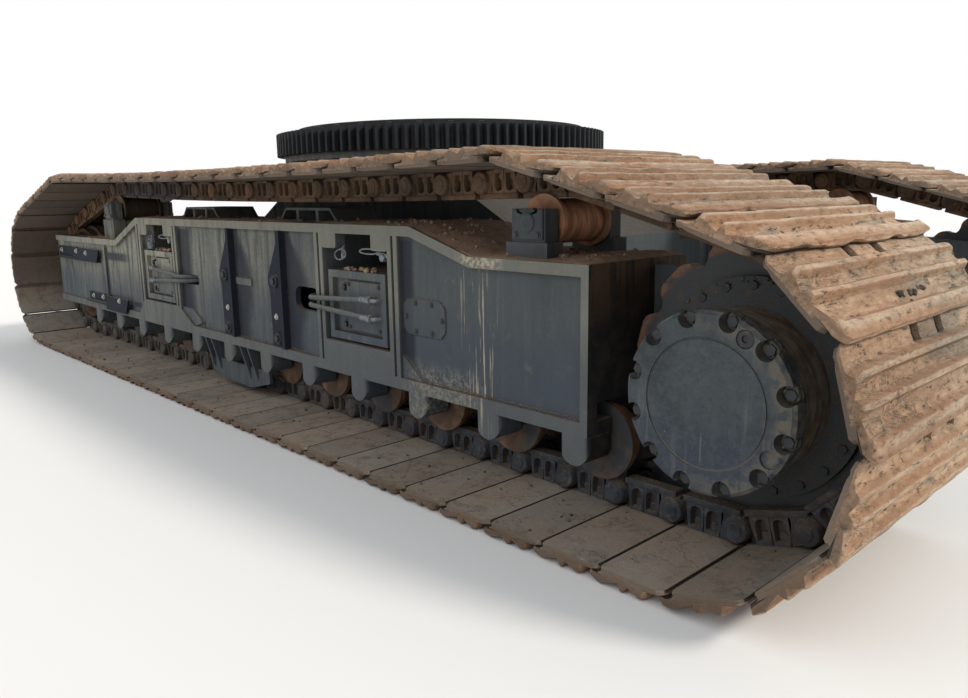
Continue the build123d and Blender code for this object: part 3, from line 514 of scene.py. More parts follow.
class Finish:
    # a material with its own coordinates, normal and shader
    def __init__(self, name):
        self.material = bpy.data.materials.new(name)
        self.material.use_nodes = True
        self.tree = self.material.node_tree
        self.tree.nodes.clear()
        start = Sock(self.tree, None)
        self.place = start.node("TexCoord", {}, {}, 3)
        self.noise, self.stretched = self.place.noise, self.place.stretched
        facing = start.node("NewGeometry", {}, {}, 1)
        self.ahead, self.up = facing.axis(0), facing.axis(2)
        self.sideways = facing.axis(1).size()
        self.x, self.z = self.place.axis(0), self.place.axis(2)
        self.out = self.place.axis(1).size()
        self.shader = self.tree.nodes.new("ShaderNodeBsdfPrincipled")
        end = self.tree.nodes.new("ShaderNodeOutputMaterial")
        self.tree.links.new(self.shader.outputs[0], end.inputs[0])

    def value(self, key):
        # a number stored on the mesh
        return self.place.node("Attribute", {"attribute_name": key}, {}, 2)

    def corner(self, reach, low, high):
        # how hidden a point is: 1 deep in a corner, 0 in the open, stepped between two values; the finishes
        # darken by it, which paints shade into corners
        clear = self.place.node("AmbientOcclusion", {"samples": 6}, {"Distance": reach}, 1)
        return (1 - clear).step(low, high)

    def coat(self, base, *layers):
        # a tone or a colour, then each layer's tone or colour laid over it by its mask
        colour = self.place.node("RGB", {}, {}) if isinstance(base, str) else base
        for mask, tone in (((1, base),) if isinstance(base, str) else ()) + layers:
            colour = colour.blend(mask, (*tones[tone], 1) if isinstance(tone, str) else tone)
        return colour

    def done(self, colour, rough, metal, height, depth, spec):
        for key, value in (("Base Color", colour), ("Roughness", rough), ("Metallic", metal)):
            if isinstance(value, Sock):
                self.tree.links.new(value.out, self.shader.inputs[key])
            else:
                self.shader.inputs[key].default_value = value
        self.shader.inputs["Specular IOR Level"].default_value = spec
        if height is not None:
            bump = height.node("Bump", {}, {"Strength": 1, "Distance": depth, "Height": height})
            self.tree.links.new(bump.out, self.shader.inputs["Normal"])
        return self.material


tones = {
    "slate": (0.058, 0.069, 0.075), "slateDark": (0.03, 0.037, 0.043), "slatePale": (0.16, 0.165, 0.155),
    "blue": (0.047, 0.06, 0.078), "navy": (0.014, 0.018, 0.027), "film": (0.275, 0.262, 0.205),
    "dust": (0.27, 0.235, 0.175), "dirt": (0.105, 0.072, 0.048), "rust": (0.23, 0.105, 0.048),
    "darkRust": (0.095, 0.05, 0.026), "black": (0.01, 0.01, 0.011), "sand": (0.245, 0.182, 0.128),
    "sandPale": (0.47, 0.395, 0.295), "clay": (0.26, 0.14, 0.078), "mudDark": (0.048, 0.036, 0.027),
    "mudGrey": (0.125, 0.117, 0.095), "inside": (0.245, 0.21, 0.172), "insideWarm": (0.25, 0.19, 0.14),
    "insideDark": (0.125, 0.104, 0.082), "insideBrown": (0.085, 0.06, 0.045), "steel": (0.42, 0.41, 0.39),
    "chain": (0.04, 0.047, 0.058), "grease": (0.012, 0.012, 0.013), "hose": (0.075, 0.088, 0.095),
    "bronze": (0.32, 0.2, 0.08), "zinc": (0.42, 0.41, 0.36), "drum": (0.05, 0.04, 0.031),
    "hub": (0.05, 0.062, 0.068), "hubBlue": (0.04, 0.052, 0.074), "hubPale": (0.082, 0.09, 0.088),
    "earth": (0.36, 0.24, 0.165), "edge": (0.115, 0.082, 0.058), "chainDust": (0.135, 0.115, 0.088),
    "paleMud": (0.36, 0.315, 0.245), "earthDark": (0.095, 0.066, 0.045), "fitting": (0.16, 0.185, 0.2),
    "railTop": (0.105, 0.078, 0.058), "drumBrown": (0.32, 0.265, 0.21), "flange": (0.052, 0.056, 0.058),
    "carrierRust": (0.5, 0.225, 0.115), "ring": (0.017, 0.019, 0.022), "tan": (0.49, 0.315, 0.195),
    "bodyDirtAndShade": (0.052, 0.04, 0.031), "chainBlue": (0.055, 0.06, 0.066), "floor": (0.8, 0.79, 0.77),
    "floorGrain": (0.7, 0.69, 0.67),
}

# Places beside the bars, posts and steps coloured darker navy: x from and to, z from and to
barEdges = (-0.006, 0.499)
navyZones = [(-0.669, -0.49, 0.4, 0.91), (1.364, 1.45, 0.37, 0.91), (-1.885, -1.84, 0.36, 0.76),
              (-1.905, -1.4, 0.648, 0.726), (-1.44, -1.2, 0.368, 0.425), (-1.241, -1.212, 0.46, 0.91)]


def navyBeside(f):
    # beside a bar it is widest level with the upper boss and narrows upwards
    wobble = f.noise(30, 4, 0.6) * 0.05
    wide = 0.025 + f.z.fall(0.66, 0.92) * 0.155 - f.z.fall(0.42, 0.62) * 0.075 + wobble
    total = f.x * 0
    for x0, x1, z0, z1 in navyZones:
        zone = f.x.step(x0 - 0.004, x0 + 0.003) * f.x.fall(x0 + (x1 - x0) * 0.6, x1)
        total = total + zone * f.z.band(z0, z1, 0.025)
    for edge in barEdges:
        past = f.x - edge
        total = total + past.calc("DIVIDE", past, wide).fall(0.55, 1.15) * past.step(-0.004, 0.002)
    return total.clamp()


def slatePaint(name, dusty=1, dirty=1, zones=True):
    # weathered slate paint: pale dust film towards the idler, streaked by rain, dirt on what faces up;
    # painted shade in corners and on the end above the drive
    f = Finish(name)
    broad, mottled, flecks = f.noise(2.2, 5), f.noise(14, 6, 0.65), f.noise(70, 6, 0.8)
    fine = f.noise(160, 4, 0.7)
    runs = f.stretched(1, 1, 0.1).noise(26, 7, 0.68, 0.25)
    thin = f.stretched(1, 1, 0.04).noise(95, 4, 0.6)
    west, high = f.x.fall(-1.3, 1.7), f.z.step(0.46, 0.74)
    film = (0.06 + west * 0.55) * (0.3 + high * 0.7) * (0.4 + runs.step(0.36, 0.6) * 0.85) * dusty
    film = film * (0.62 + flecks.step(0.38, 0.62) * 0.4 + broad.step(0.45, 0.6) * 0.35)
    colour = f.coat(
        "slate",
        (broad.step(0.42, 0.68) * 0.8, "slateDark"),
        ((1 - high) * 0.7, "blue"),
        (film.clamp(), "film"),
        (runs.step(0.56, 0.72) * (0.14 + west * 0.38) * dusty, "slatePale"),
        (runs.fall(0.36, 0.46) * west * 0.45, "slateDark"),
        (thin.step(0.6, 0.72) * (0.08 + west * 0.18) * high * dusty, "dust"),
        (mottled.step(0.58, 0.8) * (0.22 * dusty), "dust"))
    if zones:
        # pale scratches down the web, and the rubbed strips on both flanges
        web, flange, chips = f.out.fall(1.393, 1.4), f.out.step(1.403, 1.409), f.noise(60, 7, 0.75)
        scratch = f.x.band(1.66, 1.92, 0.1) * thin.step(0.56, 0.61) * runs.step(0.4, 0.55)
        rubbed = f.x.band(1.33, 1.86, 0.16) * f.z.fall(0.37, 0.46) * chips.step(0.45, 0.56)
        chipped = f.x.band(1.7, 1.95, 0.06) * f.z.step(0.8, 0.83) * chips.step(0.46, 0.54)
        colour = f.coat(
            colour,
            (navyBeside(f) * web * (0.96 - mottled * 0.22), "navy"),
            (scratch * 0.65, "sandPale"),
            (flange * (0.18 + high * 0.34) * (0.4 + mottled * 0.8), "film"),
            (rubbed * 0.55, "dust"),
            (chipped * 0.7, "sandPale"))
    lying = f.up.step(0.35, 0.85) * mottled.step(0.26, 0.46) * (0.92 * dirty)
    # the end above the drive, facing +X, gets painted shade: nearly black, mottled with dark mud, rusty brown
    # at its top
    cakedMudAndShade = f.coat("black", (mottled.step(0.4, 0.65) * 0.6, "mudDark"),
                   (f.z.step(0.62, 0.86) * runs.step(0.4, 0.56) * 0.9, "darkRust"))
    colour = f.coat(
        colour,
        # darker in the corners: dirt and painted shade
        (f.corner(0.05, 0.25, 0.8) * mottled.step(0.35, 0.6) * (0.7 * dirty), "dirt"),
        # on the body and the beams what faces up gets darker dirt and less dust: dirt and painted shade
        (lying, "dirt" if zones else "bodyDirtAndShade"),
        (lying * fine.step(0.46, 0.66) * (0.65 if zones else 0.22), "dust"),
        (f.ahead.step(0.4, 0.8) * f.x.step(2, 2.2) * 0.94, cakedMudAndShade),
        (flecks.fall(0.3, 0.42) * 0.45, "slateDark"),
        (flecks.step(0.66, 0.72) * 0.35 * dusty, "sandPale"))
    height = mottled * 0.5 + fine * 0.35 + flecks * 0.3 + lying * 0.9
    return f.done(colour, 0.6 + mottled * 0.25 + lying * 0.15, 0, height, 0.0024, 0.22)


def darkPaint():
    # nearly black where the dust is blown off, with worn edges
    f = Finish("darkPaint")
    mottled, fine = f.noise(20, 5), f.noise(220, 3)
    colour = f.coat(
        "navy",
        (mottled.step(0.5, 0.75) * 0.45, "slateDark"),
        (mottled.step(0.66, 0.76) * fine.step(0.45, 0.6) * 0.4, "slatePale"),
        (f.up.step(0.4, 0.9) * mottled.step(0.35, 0.55) * 0.75, "dust"),
        # darker in the corners: dirt and painted shade
        (f.corner(0.03, 0.3, 0.9) * 0.4, "dirt"))
    return f.done(colour, 0.62 + mottled * 0.25, 0, mottled * 0.4 + fine * 0.3, 0.0014, 0.16)


def shoeSteel():
    # rust and dry clay over steel outside, with rubbed grouser tops; trodden tan dust inside; painted
    # sunlight towards the drive, and painted shade on the end faces, in the hidden laps, high inside and in
    # corners
    f = Finish("shoeSteel")
    ridge, mud, number = f.value("ridge"), f.value("mud"), f.value("number")
    lain = f.stretched(1, 0.34, 1)  # outside, dirt lies along the grousers
    broad, mottled, grit = lain.noise(3.6, 5), lain.noise(15, 8, 0.72), lain.noise(70, 6, 0.75)
    patches = lain.noise(8.5, 7, 0.7, 0.4)
    fine, trodden, speck = f.noise(210, 4, 0.7), f.noise(13, 8, 0.72), f.noise(64, 6, 0.75)
    drag = f.stretched(1, 0.1, 1).noise(38, 6, 0.7)
    # painted sunlight: paler tan on the shoes towards the drive end
    paintedSunFront = f.x.step(2.45, 3) * (0.35 + grit.step(0.44, 0.6) * 0.3)
    splash = lain.noise(2.7, 4, 0.6).step(0.585, 0.635) * grit.step(0.36, 0.52)
    pits = grit.fall(0.38, 0.46) * (0.25 + mottled.step(0.4, 0.54) * 0.75)
    cracks = lain.noise(26, 9, 0.8, 0.6).band(0.474, 0.514, 0.014)
    cracks = cracks * (broad.step(0.44, 0.56) + splash).clamp()
    # painted sunlight: paler on the inner half of the shoes near the drive
    paintedSunInnerHalf = f.out.fall(0.9, 1.28) * f.x.step(1.7, 2.8)
    cakedMudAndShade = mud.step(0.4, 0.95) * mottled.step(0.42, 0.6)
    worn = ridge.step(0.75, 1) * drag.step(0.36, 0.6)
    skin = f.coat(
        "sand",
        (mottled.step(0.4, 0.62), "clay"),
        (drag.step(0.48, 0.66) * 0.4, "sandPale"),
        (patches.step(0.54, 0.64) * 0.65, "paleMud"),
        (patches.fall(0.36, 0.46) * 0.6, "rust"),
        (patches.band(0.47, 0.53, 0.02) * grit.step(0.4, 0.56) * 0.5, "earthDark"),
        (broad.step(0.5, 0.68) * grit.step(0.42, 0.58) * 0.55, "mudGrey"),
        (grit.step(0.53, 0.64) * 0.6, "sandPale"),
        (paintedSunFront, "tan"),
        (mottled.fall(0.4, 0.5) * 0.45, "clay"),
        (splash * 0.75, "mudGrey"),
        (pits * 0.95, "mudDark"),
        (cracks * 0.9, "mudDark"),
        (paintedSunInnerHalf * (0.15 + grit.step(0.4, 0.6) * 0.35), "sandPale"),
        (cakedMudAndShade * 0.6, "mudGrey"),
        (cakedMudAndShade * grit.fall(0.4, 0.5) * 0.7, "mudDark"),
        (worn * 0.3, "sandPale"),
        (ridge.band(0.15, 0.95, 0.25) * 0.55, "clay"))
    stains = f.noise(6, 6, 0.65, 0.3).band(0.515, 0.56, 0.015) * speck.step(0.4, 0.55)
    bed = f.coat(
        "inside",
        (broad.step(0.42, 0.62) * 0.7, "insideWarm"),
        (trodden.step(0.48, 0.66) * 0.55, "insideDark"),
        (stains * 0.45, "mudDark"),
        (speck.step(0.62, 0.68) * 0.6, "sandPale"),
        (speck.fall(0.3, 0.37) * 0.9, "mudDark"),
        (drag.step(0.52, 0.7) * 0.2, "insideDark"),
        # darker brown higher up, on the curl and under the top run: painted shade
        (f.z.step(0.22, 0.55) * 0.75, "insideBrown"))
    inner = ridge.fall(-0.6, -0.3)
    # the slots turn dark mud brown, and the laps that shoes hide get painted shade, black; both stay brown
    # where the joints open round the idler
    closed = 1 - f.x.fall(-3, -2.5) * f.z.step(0.12, 0.25) * 0.85
    colour = f.coat(
        skin,
        (inner, bed),
        # end faces darker, less so higher up: dirt and painted shade
        (f.sideways.step(0.6, 0.85) * (0.85 - f.z.step(0.15, 0.6) * 0.45), "edge"),
        (mud.step(1.5, 1.9) * closed, "mudDark"),
        (mud.step(3.1, 3.8) * closed, "grease"),
        # dark mud in the corners and at the grousers' feet: dirt and painted shade
        (f.corner(0.03, 0.36, 0.92) * 0.88, "mudDark"))
    colour = colour.node("HueSaturation", {}, {"Value": 0.98 + number * 0.32, "Color": colour})
    rough = 0.82 - worn * 0.22 + mud.clamp() * 0.05
    height = (mottled * 0.6 + grit * 0.9 + drag * 0.4) * (1 - inner) + (trodden * 0.5 + speck * 0.5) * inner
    return f.done(colour, rough, worn * 0.15, height + fine * 0.3, 0.0075, 0.22)


def chainSteel():
    # oily dark steel below, dry rust brown on the top run
    f = Finish("chainSteel")
    mottled, fine, broad = f.noise(24, 6, 0.65), f.noise(190, 4, 0.7), f.noise(5, 3)
    high, crust, over = f.z.step(0.5, 0.95), f.noise(52, 6, 0.75), f.up.step(0.3, 0.8)
    low = f.coat(
        "chain",
        (mottled.step(0.48, 0.7) * 0.6, "slate"),
        (mottled.step(0.6, 0.72) * fine.step(0.4, 0.6) * 0.5, "slatePale"),
        (broad.step(0.46, 0.66) * 0.6, "dirt"),
        (f.noise(36, 6, 0.7).step(0.54, 0.62) * 0.45, "mudGrey"),
        (fine.step(0.5, 0.64) * mottled.step(0.42, 0.58) * 0.5, "mudGrey"),
        (f.x.fall(-1.6, 1.6) * (0.35 + mottled.step(0.4, 0.6) * 0.4), "chainDust"),
        (f.noise(11, 3).step(0.46, 0.6) * 0.55, "navy"),
        (over * 0.85, "railTop"),
        (over * fine.step(0.5, 0.6) * 0.5, "dust"))
    top = f.coat(
        "dirt",
        (mottled.step(0.42, 0.66) * 0.8, "darkRust"),
        (broad.step(0.42, 0.62) * 0.6, "clay"),
        (fine.step(0.5, 0.66) * 0.45, "sand"),
        (f.noise(9, 4).step(0.5, 0.6) * 0.55, "mudDark"),
        (f.x.band(-2.2, -0.5, 0.6) * 0.75, "chainBlue"))
    colour = f.coat(
        low,
        (high, top),
        (crust.fall(0.34, 0.46) * 0.65, "mudDark"),
        (crust.step(0.58, 0.68) * (0.55 - high * 0.2), "mudGrey"),
        # dark earth in the links' corners: dirt and painted shade
        (f.corner(0.05, 0.3, 0.9) * mottled.step(0.3, 0.5) * 0.85, "earthDark"))
    return f.done(colour, 0.66 + mottled * 0.2, 0, mottled * 0.6 + crust * 0.8 + fine * 0.3, 0.005, 0.22)


def wornSteel():
    # rust brown running wheels with rubbed treads; the carrier rollers are the rustiest, though the one by
    # the idler gets painted shade, and the lower rollers' flat faces keep their grey
    f = Finish("wornSteel")
    mottled, fine = f.noise(16, 6, 0.65), f.noise(170, 4, 0.7)
    bands = f.stretched(0.3, 1, 0.3).noise(34, 5)
    high, flat = f.z.step(0.8, 0.9), f.sideways.step(0.6, 0.9)
    outOfPaintedShade = f.x.step(-0.5, 0.5)  # 1 towards the drive; the carrier by the idler gets painted shade in a dark mud tone
    lots = f.stretched(1, 0.1, 0.1).noise(2.3, 2).step(0.47, 0.53) * f.x.fall(1.9, 2.05) * 0.8
    colour = f.coat(
        "darkRust",
        (mottled.step(0.42, 0.7), "dirt"),
        (bands.step(0.48, 0.68) * 0.8, "clay"),
        (mottled.step(0.56, 0.74) * 0.8, "rust"),
        (high * outOfPaintedShade * (0.45 + bands.step(0.42, 0.6) * 0.5), "carrierRust"),
        (high * (1 - outOfPaintedShade) * 0.8, "mudDark"),
        (flat * (1 - lots) * (1 - high) * 0.9,
         f.coat("slateDark", (mottled.step(0.46, 0.66) * 0.6, "dirt"))),
        (flat * high * mottled.step(0.42, 0.6) * 0.6, "earth"),
        # grease in the corners: grease and painted shade
        (f.corner(0.05, 0.3, 0.9) * 0.6, "grease"))
    return f.done(colour, 0.55 + mottled * 0.25, 0.15, mottled * 0.5 + fine * 0.3, 0.002, 0.35)


def fromAxle(f):
    # distance from the drive's axle, seen from the side
    along, over = f.x - layout["sprocketX"], f.z - sprocketZ
    square = along * along + over * over
    return square.calc("SQRT", square, 0)


def toothSteel():
    # the sprocket: caked nearly black, its teeth's edges bright with rust
    f = Finish("toothSteel")
    mottled, fine = f.noise(22, 6, 0.68), f.noise(150, 4, 0.7)
    edge = fromAxle(f).step(0.386, 0.412) * 0.75 * mottled.step(0.36, 0.52)
    edge = (edge + f.sideways.fall(0.5, 0.8) * 0.9).clamp()
    colour = f.coat(
        "flange",
        (mottled.step(0.48, 0.66) * 0.6, "dirt"),
        (edge, "rust"),
        (edge * fine.step(0.5, 0.66) * 0.6, "sand"),
        # grease in the corners: grease and painted shade
        (f.corner(0.05, 0.4, 1) * 0.5, "grease"))
    return f.done(colour, 0.55 + mottled * 0.25, 0.15, mottled * 0.6 + fine * 0.3, 0.0024, 0.4)


def hubPaint():
    # the drive's slate cover, bluer below, with an oily brown drum and a flange behind it
    f = Finish("hubPaint")
    broad, mottled, fine = f.noise(4, 5), f.noise(22, 6, 0.62), f.noise(210, 4, 0.7)
    grain, runs = f.noise(75, 8, 0.8), f.stretched(1, 1, 0.06).noise(42, 4)
    outside, behind, rim = f.out.step(1.398, 1.404), f.out.fall(1.235, 1.245), fromAxle(f)
    # the groove's lower half holds pale dust, and drips run down below it
    groove = rim.band(0.1725, 0.1825, 0.003) * f.z.fall(0.38, 0.46)
    drips = (f.x - 2.722).size().fall(0, 0.004) * f.z.band(0.335, 0.44, 0.03)
    patch = mottled.step(0.4, 0.54) * f.x.step(2.62, 2.86) * rim.step(0.185, 0.215)
    cover = f.coat(
        "hub",
        (broad.step(0.42, 0.6) * 0.8, "slateDark"),
        (f.z.fall(0.36, 0.56) * 0.6, "hubBlue"),
        (mottled.step(0.48, 0.64) * 0.35, "hubPale"),
        (grain.step(0.5, 0.62) * 0.4, "hubPale"),
        (grain.fall(0.36, 0.47) * 0.6, "slateDark"),
        (runs.step(0.56, 0.72) * 0.3, "slatePale"),
        (fine.step(0.62, 0.7) * mottled.step(0.4, 0.6) * 0.6, "slatePale"),
        (f.noise(33, 6, 0.8).step(0.68, 0.71) * 0.5, "sandPale"),
        (groove * 0.2, "sandPale"),
        (drips * 0.16, "sandPale"),
        (patch * 0.75, "mudGrey"),
        (patch * fine.step(0.46, 0.6) * 0.75, "dirt"),
        (rim.step(0.238, 0.248) * mottled.step(0.4, 0.6) * 0.6, "slatePale"))
    rings = f.stretched(0.2, 1, 0.2).noise(60, 2, 0.5)
    flange = f.coat("flange", (mottled.step(0.48, 0.7) * 0.6, "dirt"),
                    (fine.step(0.52, 0.66) * 0.4, "mudGrey"))
    colour = f.coat(
        "drumBrown",
        (mottled.step(0.4, 0.65) * 0.55, "dirt"),
        (rings.step(0.45, 0.62) * 0.5, "darkRust"),
        (rings.step(0.6, 0.7) * 0.75, "mudGrey"),
        (broad.step(0.54, 0.72) * 0.12, "drum"),
        (behind * f.sideways.step(0.25, 0.55), flange),
        (rim.step(0.245, 0.262) * behind, flange),
        (outside, cover),
        # darker in the corners, mud grey on the cover and dark mud on the drum: dirt and painted shade
        (f.corner(0.025, 0.3, 0.9) * (0.25 + outside * 0.5), f.coat("mudDark", (outside, "mudGrey"))))
    return f.done(colour, 0.56 + mottled * 0.25, 0.05, mottled * 0.6 + fine * 0.4, 0.0022, 0.25)


def ringSteel():
    f = Finish("ringSteel")
    mottled = f.noise(18, 5)
    colour = f.coat("ring", (mottled.step(0.45, 0.7) * 0.6, "grease"),
                    (f.up.step(0.5, 0.9) * (0.08 + mottled.step(0.35, 0.7) * 0.1), "steel"),
                    # grease in the corners: grease and painted shade
                    (f.corner(0.03, 0.3, 0.9) * 0.7, "grease"))
    return f.done(colour, 0.5 + mottled * 0.25, 0.25, mottled, 0.001, 0.25)


def looseDirt():
    f = Finish("looseDirt")
    mottled, fine = f.noise(24, 6, 0.7), f.noise(150, 5, 0.75)
    colour = f.coat("earth", (mottled.step(0.45, 0.68) * 0.55, "dirt"), (fine.step(0.52, 0.66) * 0.7, "dust"),
                    (mottled.step(0.58, 0.72) * 0.6, "clay"), (fine.fall(0.32, 0.42) * 0.55, "mudDark"))
    return f.done(colour, 0.92, 0, mottled * 0.6 + fine * 0.8, 0.006, 0.15)


def hoseCover():
    f = Finish("hoseCover")
    weave, mottled = f.noise(420, 2), f.noise(30, 4)
    colour = f.coat("hose", (mottled.step(0.45, 0.7) * 0.6, "slateDark"), (f.up.step(0.2, 0.9) * 0.4, "film"))
    return f.done(colour, 0.6 + mottled * 0.2, 0, weave + mottled, 0.0008, 0.4)


# Plain finishes: their base tone and noise, layers of (what is measured, from, to, strength, tone), then
# roughness and its change with the noise, metal, the bump's depth and the specular level.
plain = {
    "padBronze": ("bronze", (40, 4), [("noise", 0.45, 0.7, 0.8, "grease")], (0.4, 0.3), 0.6, 0.0006, 0.5),
    # bright plated bolts, dusty and dulled
    "zincSteel": ("zinc", (90, 4), [("noise", 0.5, 0.7, 0.6, "dirt")], (0.45, 0.2), 0.35, 0.0006, 0.4),
    # hose fittings and pins: dull plated steel, bluish, dusty on top
    "fittingSteel": ("fitting", (70, 4), [("noise", 0.45, 0.65, 0.6, "slateDark"),
                     ("up", 0.2, 0.9, 0.5, "film")], (0.42, 0.25), 0.3, 0.0005, 0.45),
    # dried grey mud carried round on the shoes
    "mudCake": ("mudGrey", (40, 6, 0.7), [("noise", 0.42, 0.62, 1, "mudDark"),
                ("noise", 0.62, 0.74, 0.5, "sand")], (0.92, 0), 0, 0.004, 0.15),
    # old bolts under paint and grime, with grease tone and painted shade where they meet the face
    "bluntSteel": ("slateDark", (60, 5, 0.7), [("noise", 0.44, 0.62, 0.7, "mudDark"),
                   ("noise", 0.58, 0.7, 0.6, "mudGrey"), ("corner", 0.4, 0.9, 0.6, "grease")],
                   (0.55, 0.2), 0.2, 0.0008, 0.4),
}


def plainFinish(name):
    colour, grain, layers, (rough, more), metal, depth, spec = plain[name]
    f = Finish(name)
    noise = f.noise(*grain)
    masks = {"noise": noise.step, "up": f.up.step, "corner": lambda low, high: f.corner(0.01, low, high)}
    for measured, low, high, strength, tone in layers:
        colour = f.coat(colour, (masks[measured](low, high) * strength, tone))
    return f.done(colour, rough + noise * more if more else rough, metal, noise, depth, spec)


finishes = {
    "slate": slatePaint("slatePaint"), "slateBeam": slatePaint("slatePaintBeam", 1.5, 0.9, False),
    "slateBody": slatePaint("slatePaintBody", 0.7, 0.8, False), "dark": darkPaint(), "shoe": shoeSteel(),
    "chain": chainSteel(), "worn": wornSteel(), "tooth": toothSteel(), "hub": hubPaint(), "ring": ringSteel(),
    "dirt": looseDirt(), "hose": hoseCover(), "bronze": plainFinish("padBronze"),
    "zinc": plainFinish("zincSteel"), "fitting": plainFinish("fittingSteel"), "mud": plainFinish("mudCake"),
    "blunt": plainFinish("bluntSteel"),
}

# which finish each CAD node takes; the plain plates of both crawlers and of the body take slateBody
dress = {
    "idler": "worn", "sprocket": "tooth", "final_drive": "hub", "side_frame": "slate",
    "roller_mounts": "slate", "bottom_rollers": "worn", "carrier_rollers": "worn", "shoes": "shoe",
    "cross_beams": "slateBeam", "guide_bars": "dark", "steps": "dark", "hoses": "hose", "chain": "chain",
    "wear_pads": "bronze", "ring_gear": "ring", "upper_race": "ring", "swivel": "dark",
}
for nodeName, node in nodes.items():
    kind = nodeName.removeprefix("near_").removeprefix("far_")
    finish = finishes[dress.get(kind, "slateBody")]
    if not node.material_slots:
        node.data.materials.append(finish)
    for holder in node.material_slots:
        holder.material = finish
print("materials ready")

# Bolts, plugs and pins. A bolt's size is its head, height and washer. Places are (x, y out from the
# chain, z), each on the face it is screwed to.

beamX = (-0.962, 1.071)
bolts = {
    "bars": {"finish": "blunt", "size": (0.018, 0.014, 0.026),
             "at": [(-0.072, 0.274, 0.675), (-0.064, 0.274, 0.405), (0.433, 0.274, 0.675),
                    (0.441, 0.274, 0.405)]},
    "pale": {"finish": "zinc", "size": (0.01, 0.009, 0.015),
             "at": [(-0.08, 0.262, 0.504), (0.418, 0.262, 0.504)]},
    "steps": {"finish": "zinc", "size": (0.012, 0.011, 0.018),
              "at": [(-2.759, 0.259, 0.694), (-2.355, 0.282, 0.701), (-2.158, 0.282, 0.694),
                     (-2.147, 0.259, 0.397), (-1.957, 0.259, 0.402), (-1.591, 0.282, 0.406)]},
    "panels": {"finish": "blunt", "size": (0.0065, 0.006, 0.01),
               "at": [(x + 0.033 + i, 0.24, 0.61 + j) for x in beamX for i in (-0.105, 0.105)
                      for j in (-0.09, 0.09)]},
    "beams": {"finish": "blunt", "size": (0.013, 0.016, 0.019),
              "at": [(x - 0.108, 0.23, z) for x in beamX for z in (0.685, 0.528)]},
    "cover": {"finish": "blunt", "size": (0.007, 0.006, 0.011),
              "at": [(1.392, 0.247, 0.606), (1.603, 0.247, 0.606), (1.45, 0.247, 0.66), (1.545, 0.247, 0.66),
                     (1.45, 0.247, 0.552), (1.545, 0.247, 0.552)]},
}
hub = {"pockets": 12, "pocketR": 0.232, "pocketY": 0.266, "bolt": (0.0165, 0.026, 0.023), "plugR": 0.216,
       "plugAngles": (60, -60), "plugY": 0.303, "plug": 0.0232, "flangeBolts": 22, "flangeR": 0.293,
       "flangeY": 0.06, "flangeStart": 107, "flangeBolt": (0.0145, 0.015, 0.0195), "rimR": 0.2485}
pocketTurns = (np.arange(hub["pockets"]) + 0.5) * 360 / hub["pockets"]


def boltShape(head, tall, washer):
    # a hexagonal head on its washer, along +Y from the face it is screwed to
    disc = rounded(circlePoints(0, 0, washer, 14), ((-0.002, 0), (0.0024, 0), (0.0032, 0.0009)))
    block = rounded(circlePoints(0, 0, head, 6), ((0.002, 0), (tall - 0.0014, 0), (tall, 0.0018)))
    return joinShapes([disc, block])


def boltsAt(places, size, rng):
    # one size of bolt at each place, its head turned at random
    return copies(boltShape(*size), places, rng.uniform(0, 6, len(places)))


def makeBolts(side):
    rng = np.random.default_rng(5 if side == "near" else 6)
    for finish, slot in (("blunt", "dark_paint"), ("zinc", "worn_steel")):
        groups = [group for group in bolts.values() if group["finish"] == finish]
        shapes = [boltsAt(group["at"], group["size"], rng) for group in groups]
        onCrawler(side, "FrameBolts_" + finish, shapes, finish, slot)


def aroundAxle(radius, degrees, y):
    # places round the drive's axle
    a = np.radians(degrees)
    across = layout["sprocketX"] + radius * np.cos(a), y, sprocketZ + radius * np.sin(a)
    return np.column_stack(np.broadcast_arrays(*across))


def makeHubBolts(side):
    rng = np.random.default_rng(15 if side == "near" else 16)
    shapes = [boltsAt(aroundAxle(hub["pocketR"], pocketTurns, hub["pocketY"]), hub["bolt"], rng)]
    wide = hub["plug"]
    for x, base, z in aroundAxle(hub["plugR"], hub["plugAngles"], hub["plugY"]):
        profile = [(base - 0.002, wide), (base + 0.0065, wide), (base + 0.008, wide - 0.002),
                   (base + 0.008, 0.0105), (base + 0.002, 0.0095)]
        shapes.append(lathe(profile, x, z, 24))
    degrees = hub["flangeStart"] + np.arange(hub["flangeBolts"]) * 360 / hub["flangeBolts"]
    shapes.append(boltsAt(aroundAxle(hub["flangeR"], degrees, hub["flangeY"]), hub["flangeBolt"], rng))
    onCrawler(side, "HubBolts", shapes, "blunt", "slate_paint")


carrier = {"at": (1.992, -1.863), "drop": 0.14, "face": 0.198, "plate": 0.008, "disc": 0.033}


def topPinZ(x):
    # height of the pin line's top run above one place
    upper = pins[pins[:, 1] > 0.9]
    order = np.argsort(upper[:, 0])
    return float(np.interp(x, upper[order, 0], upper[order, 1]))


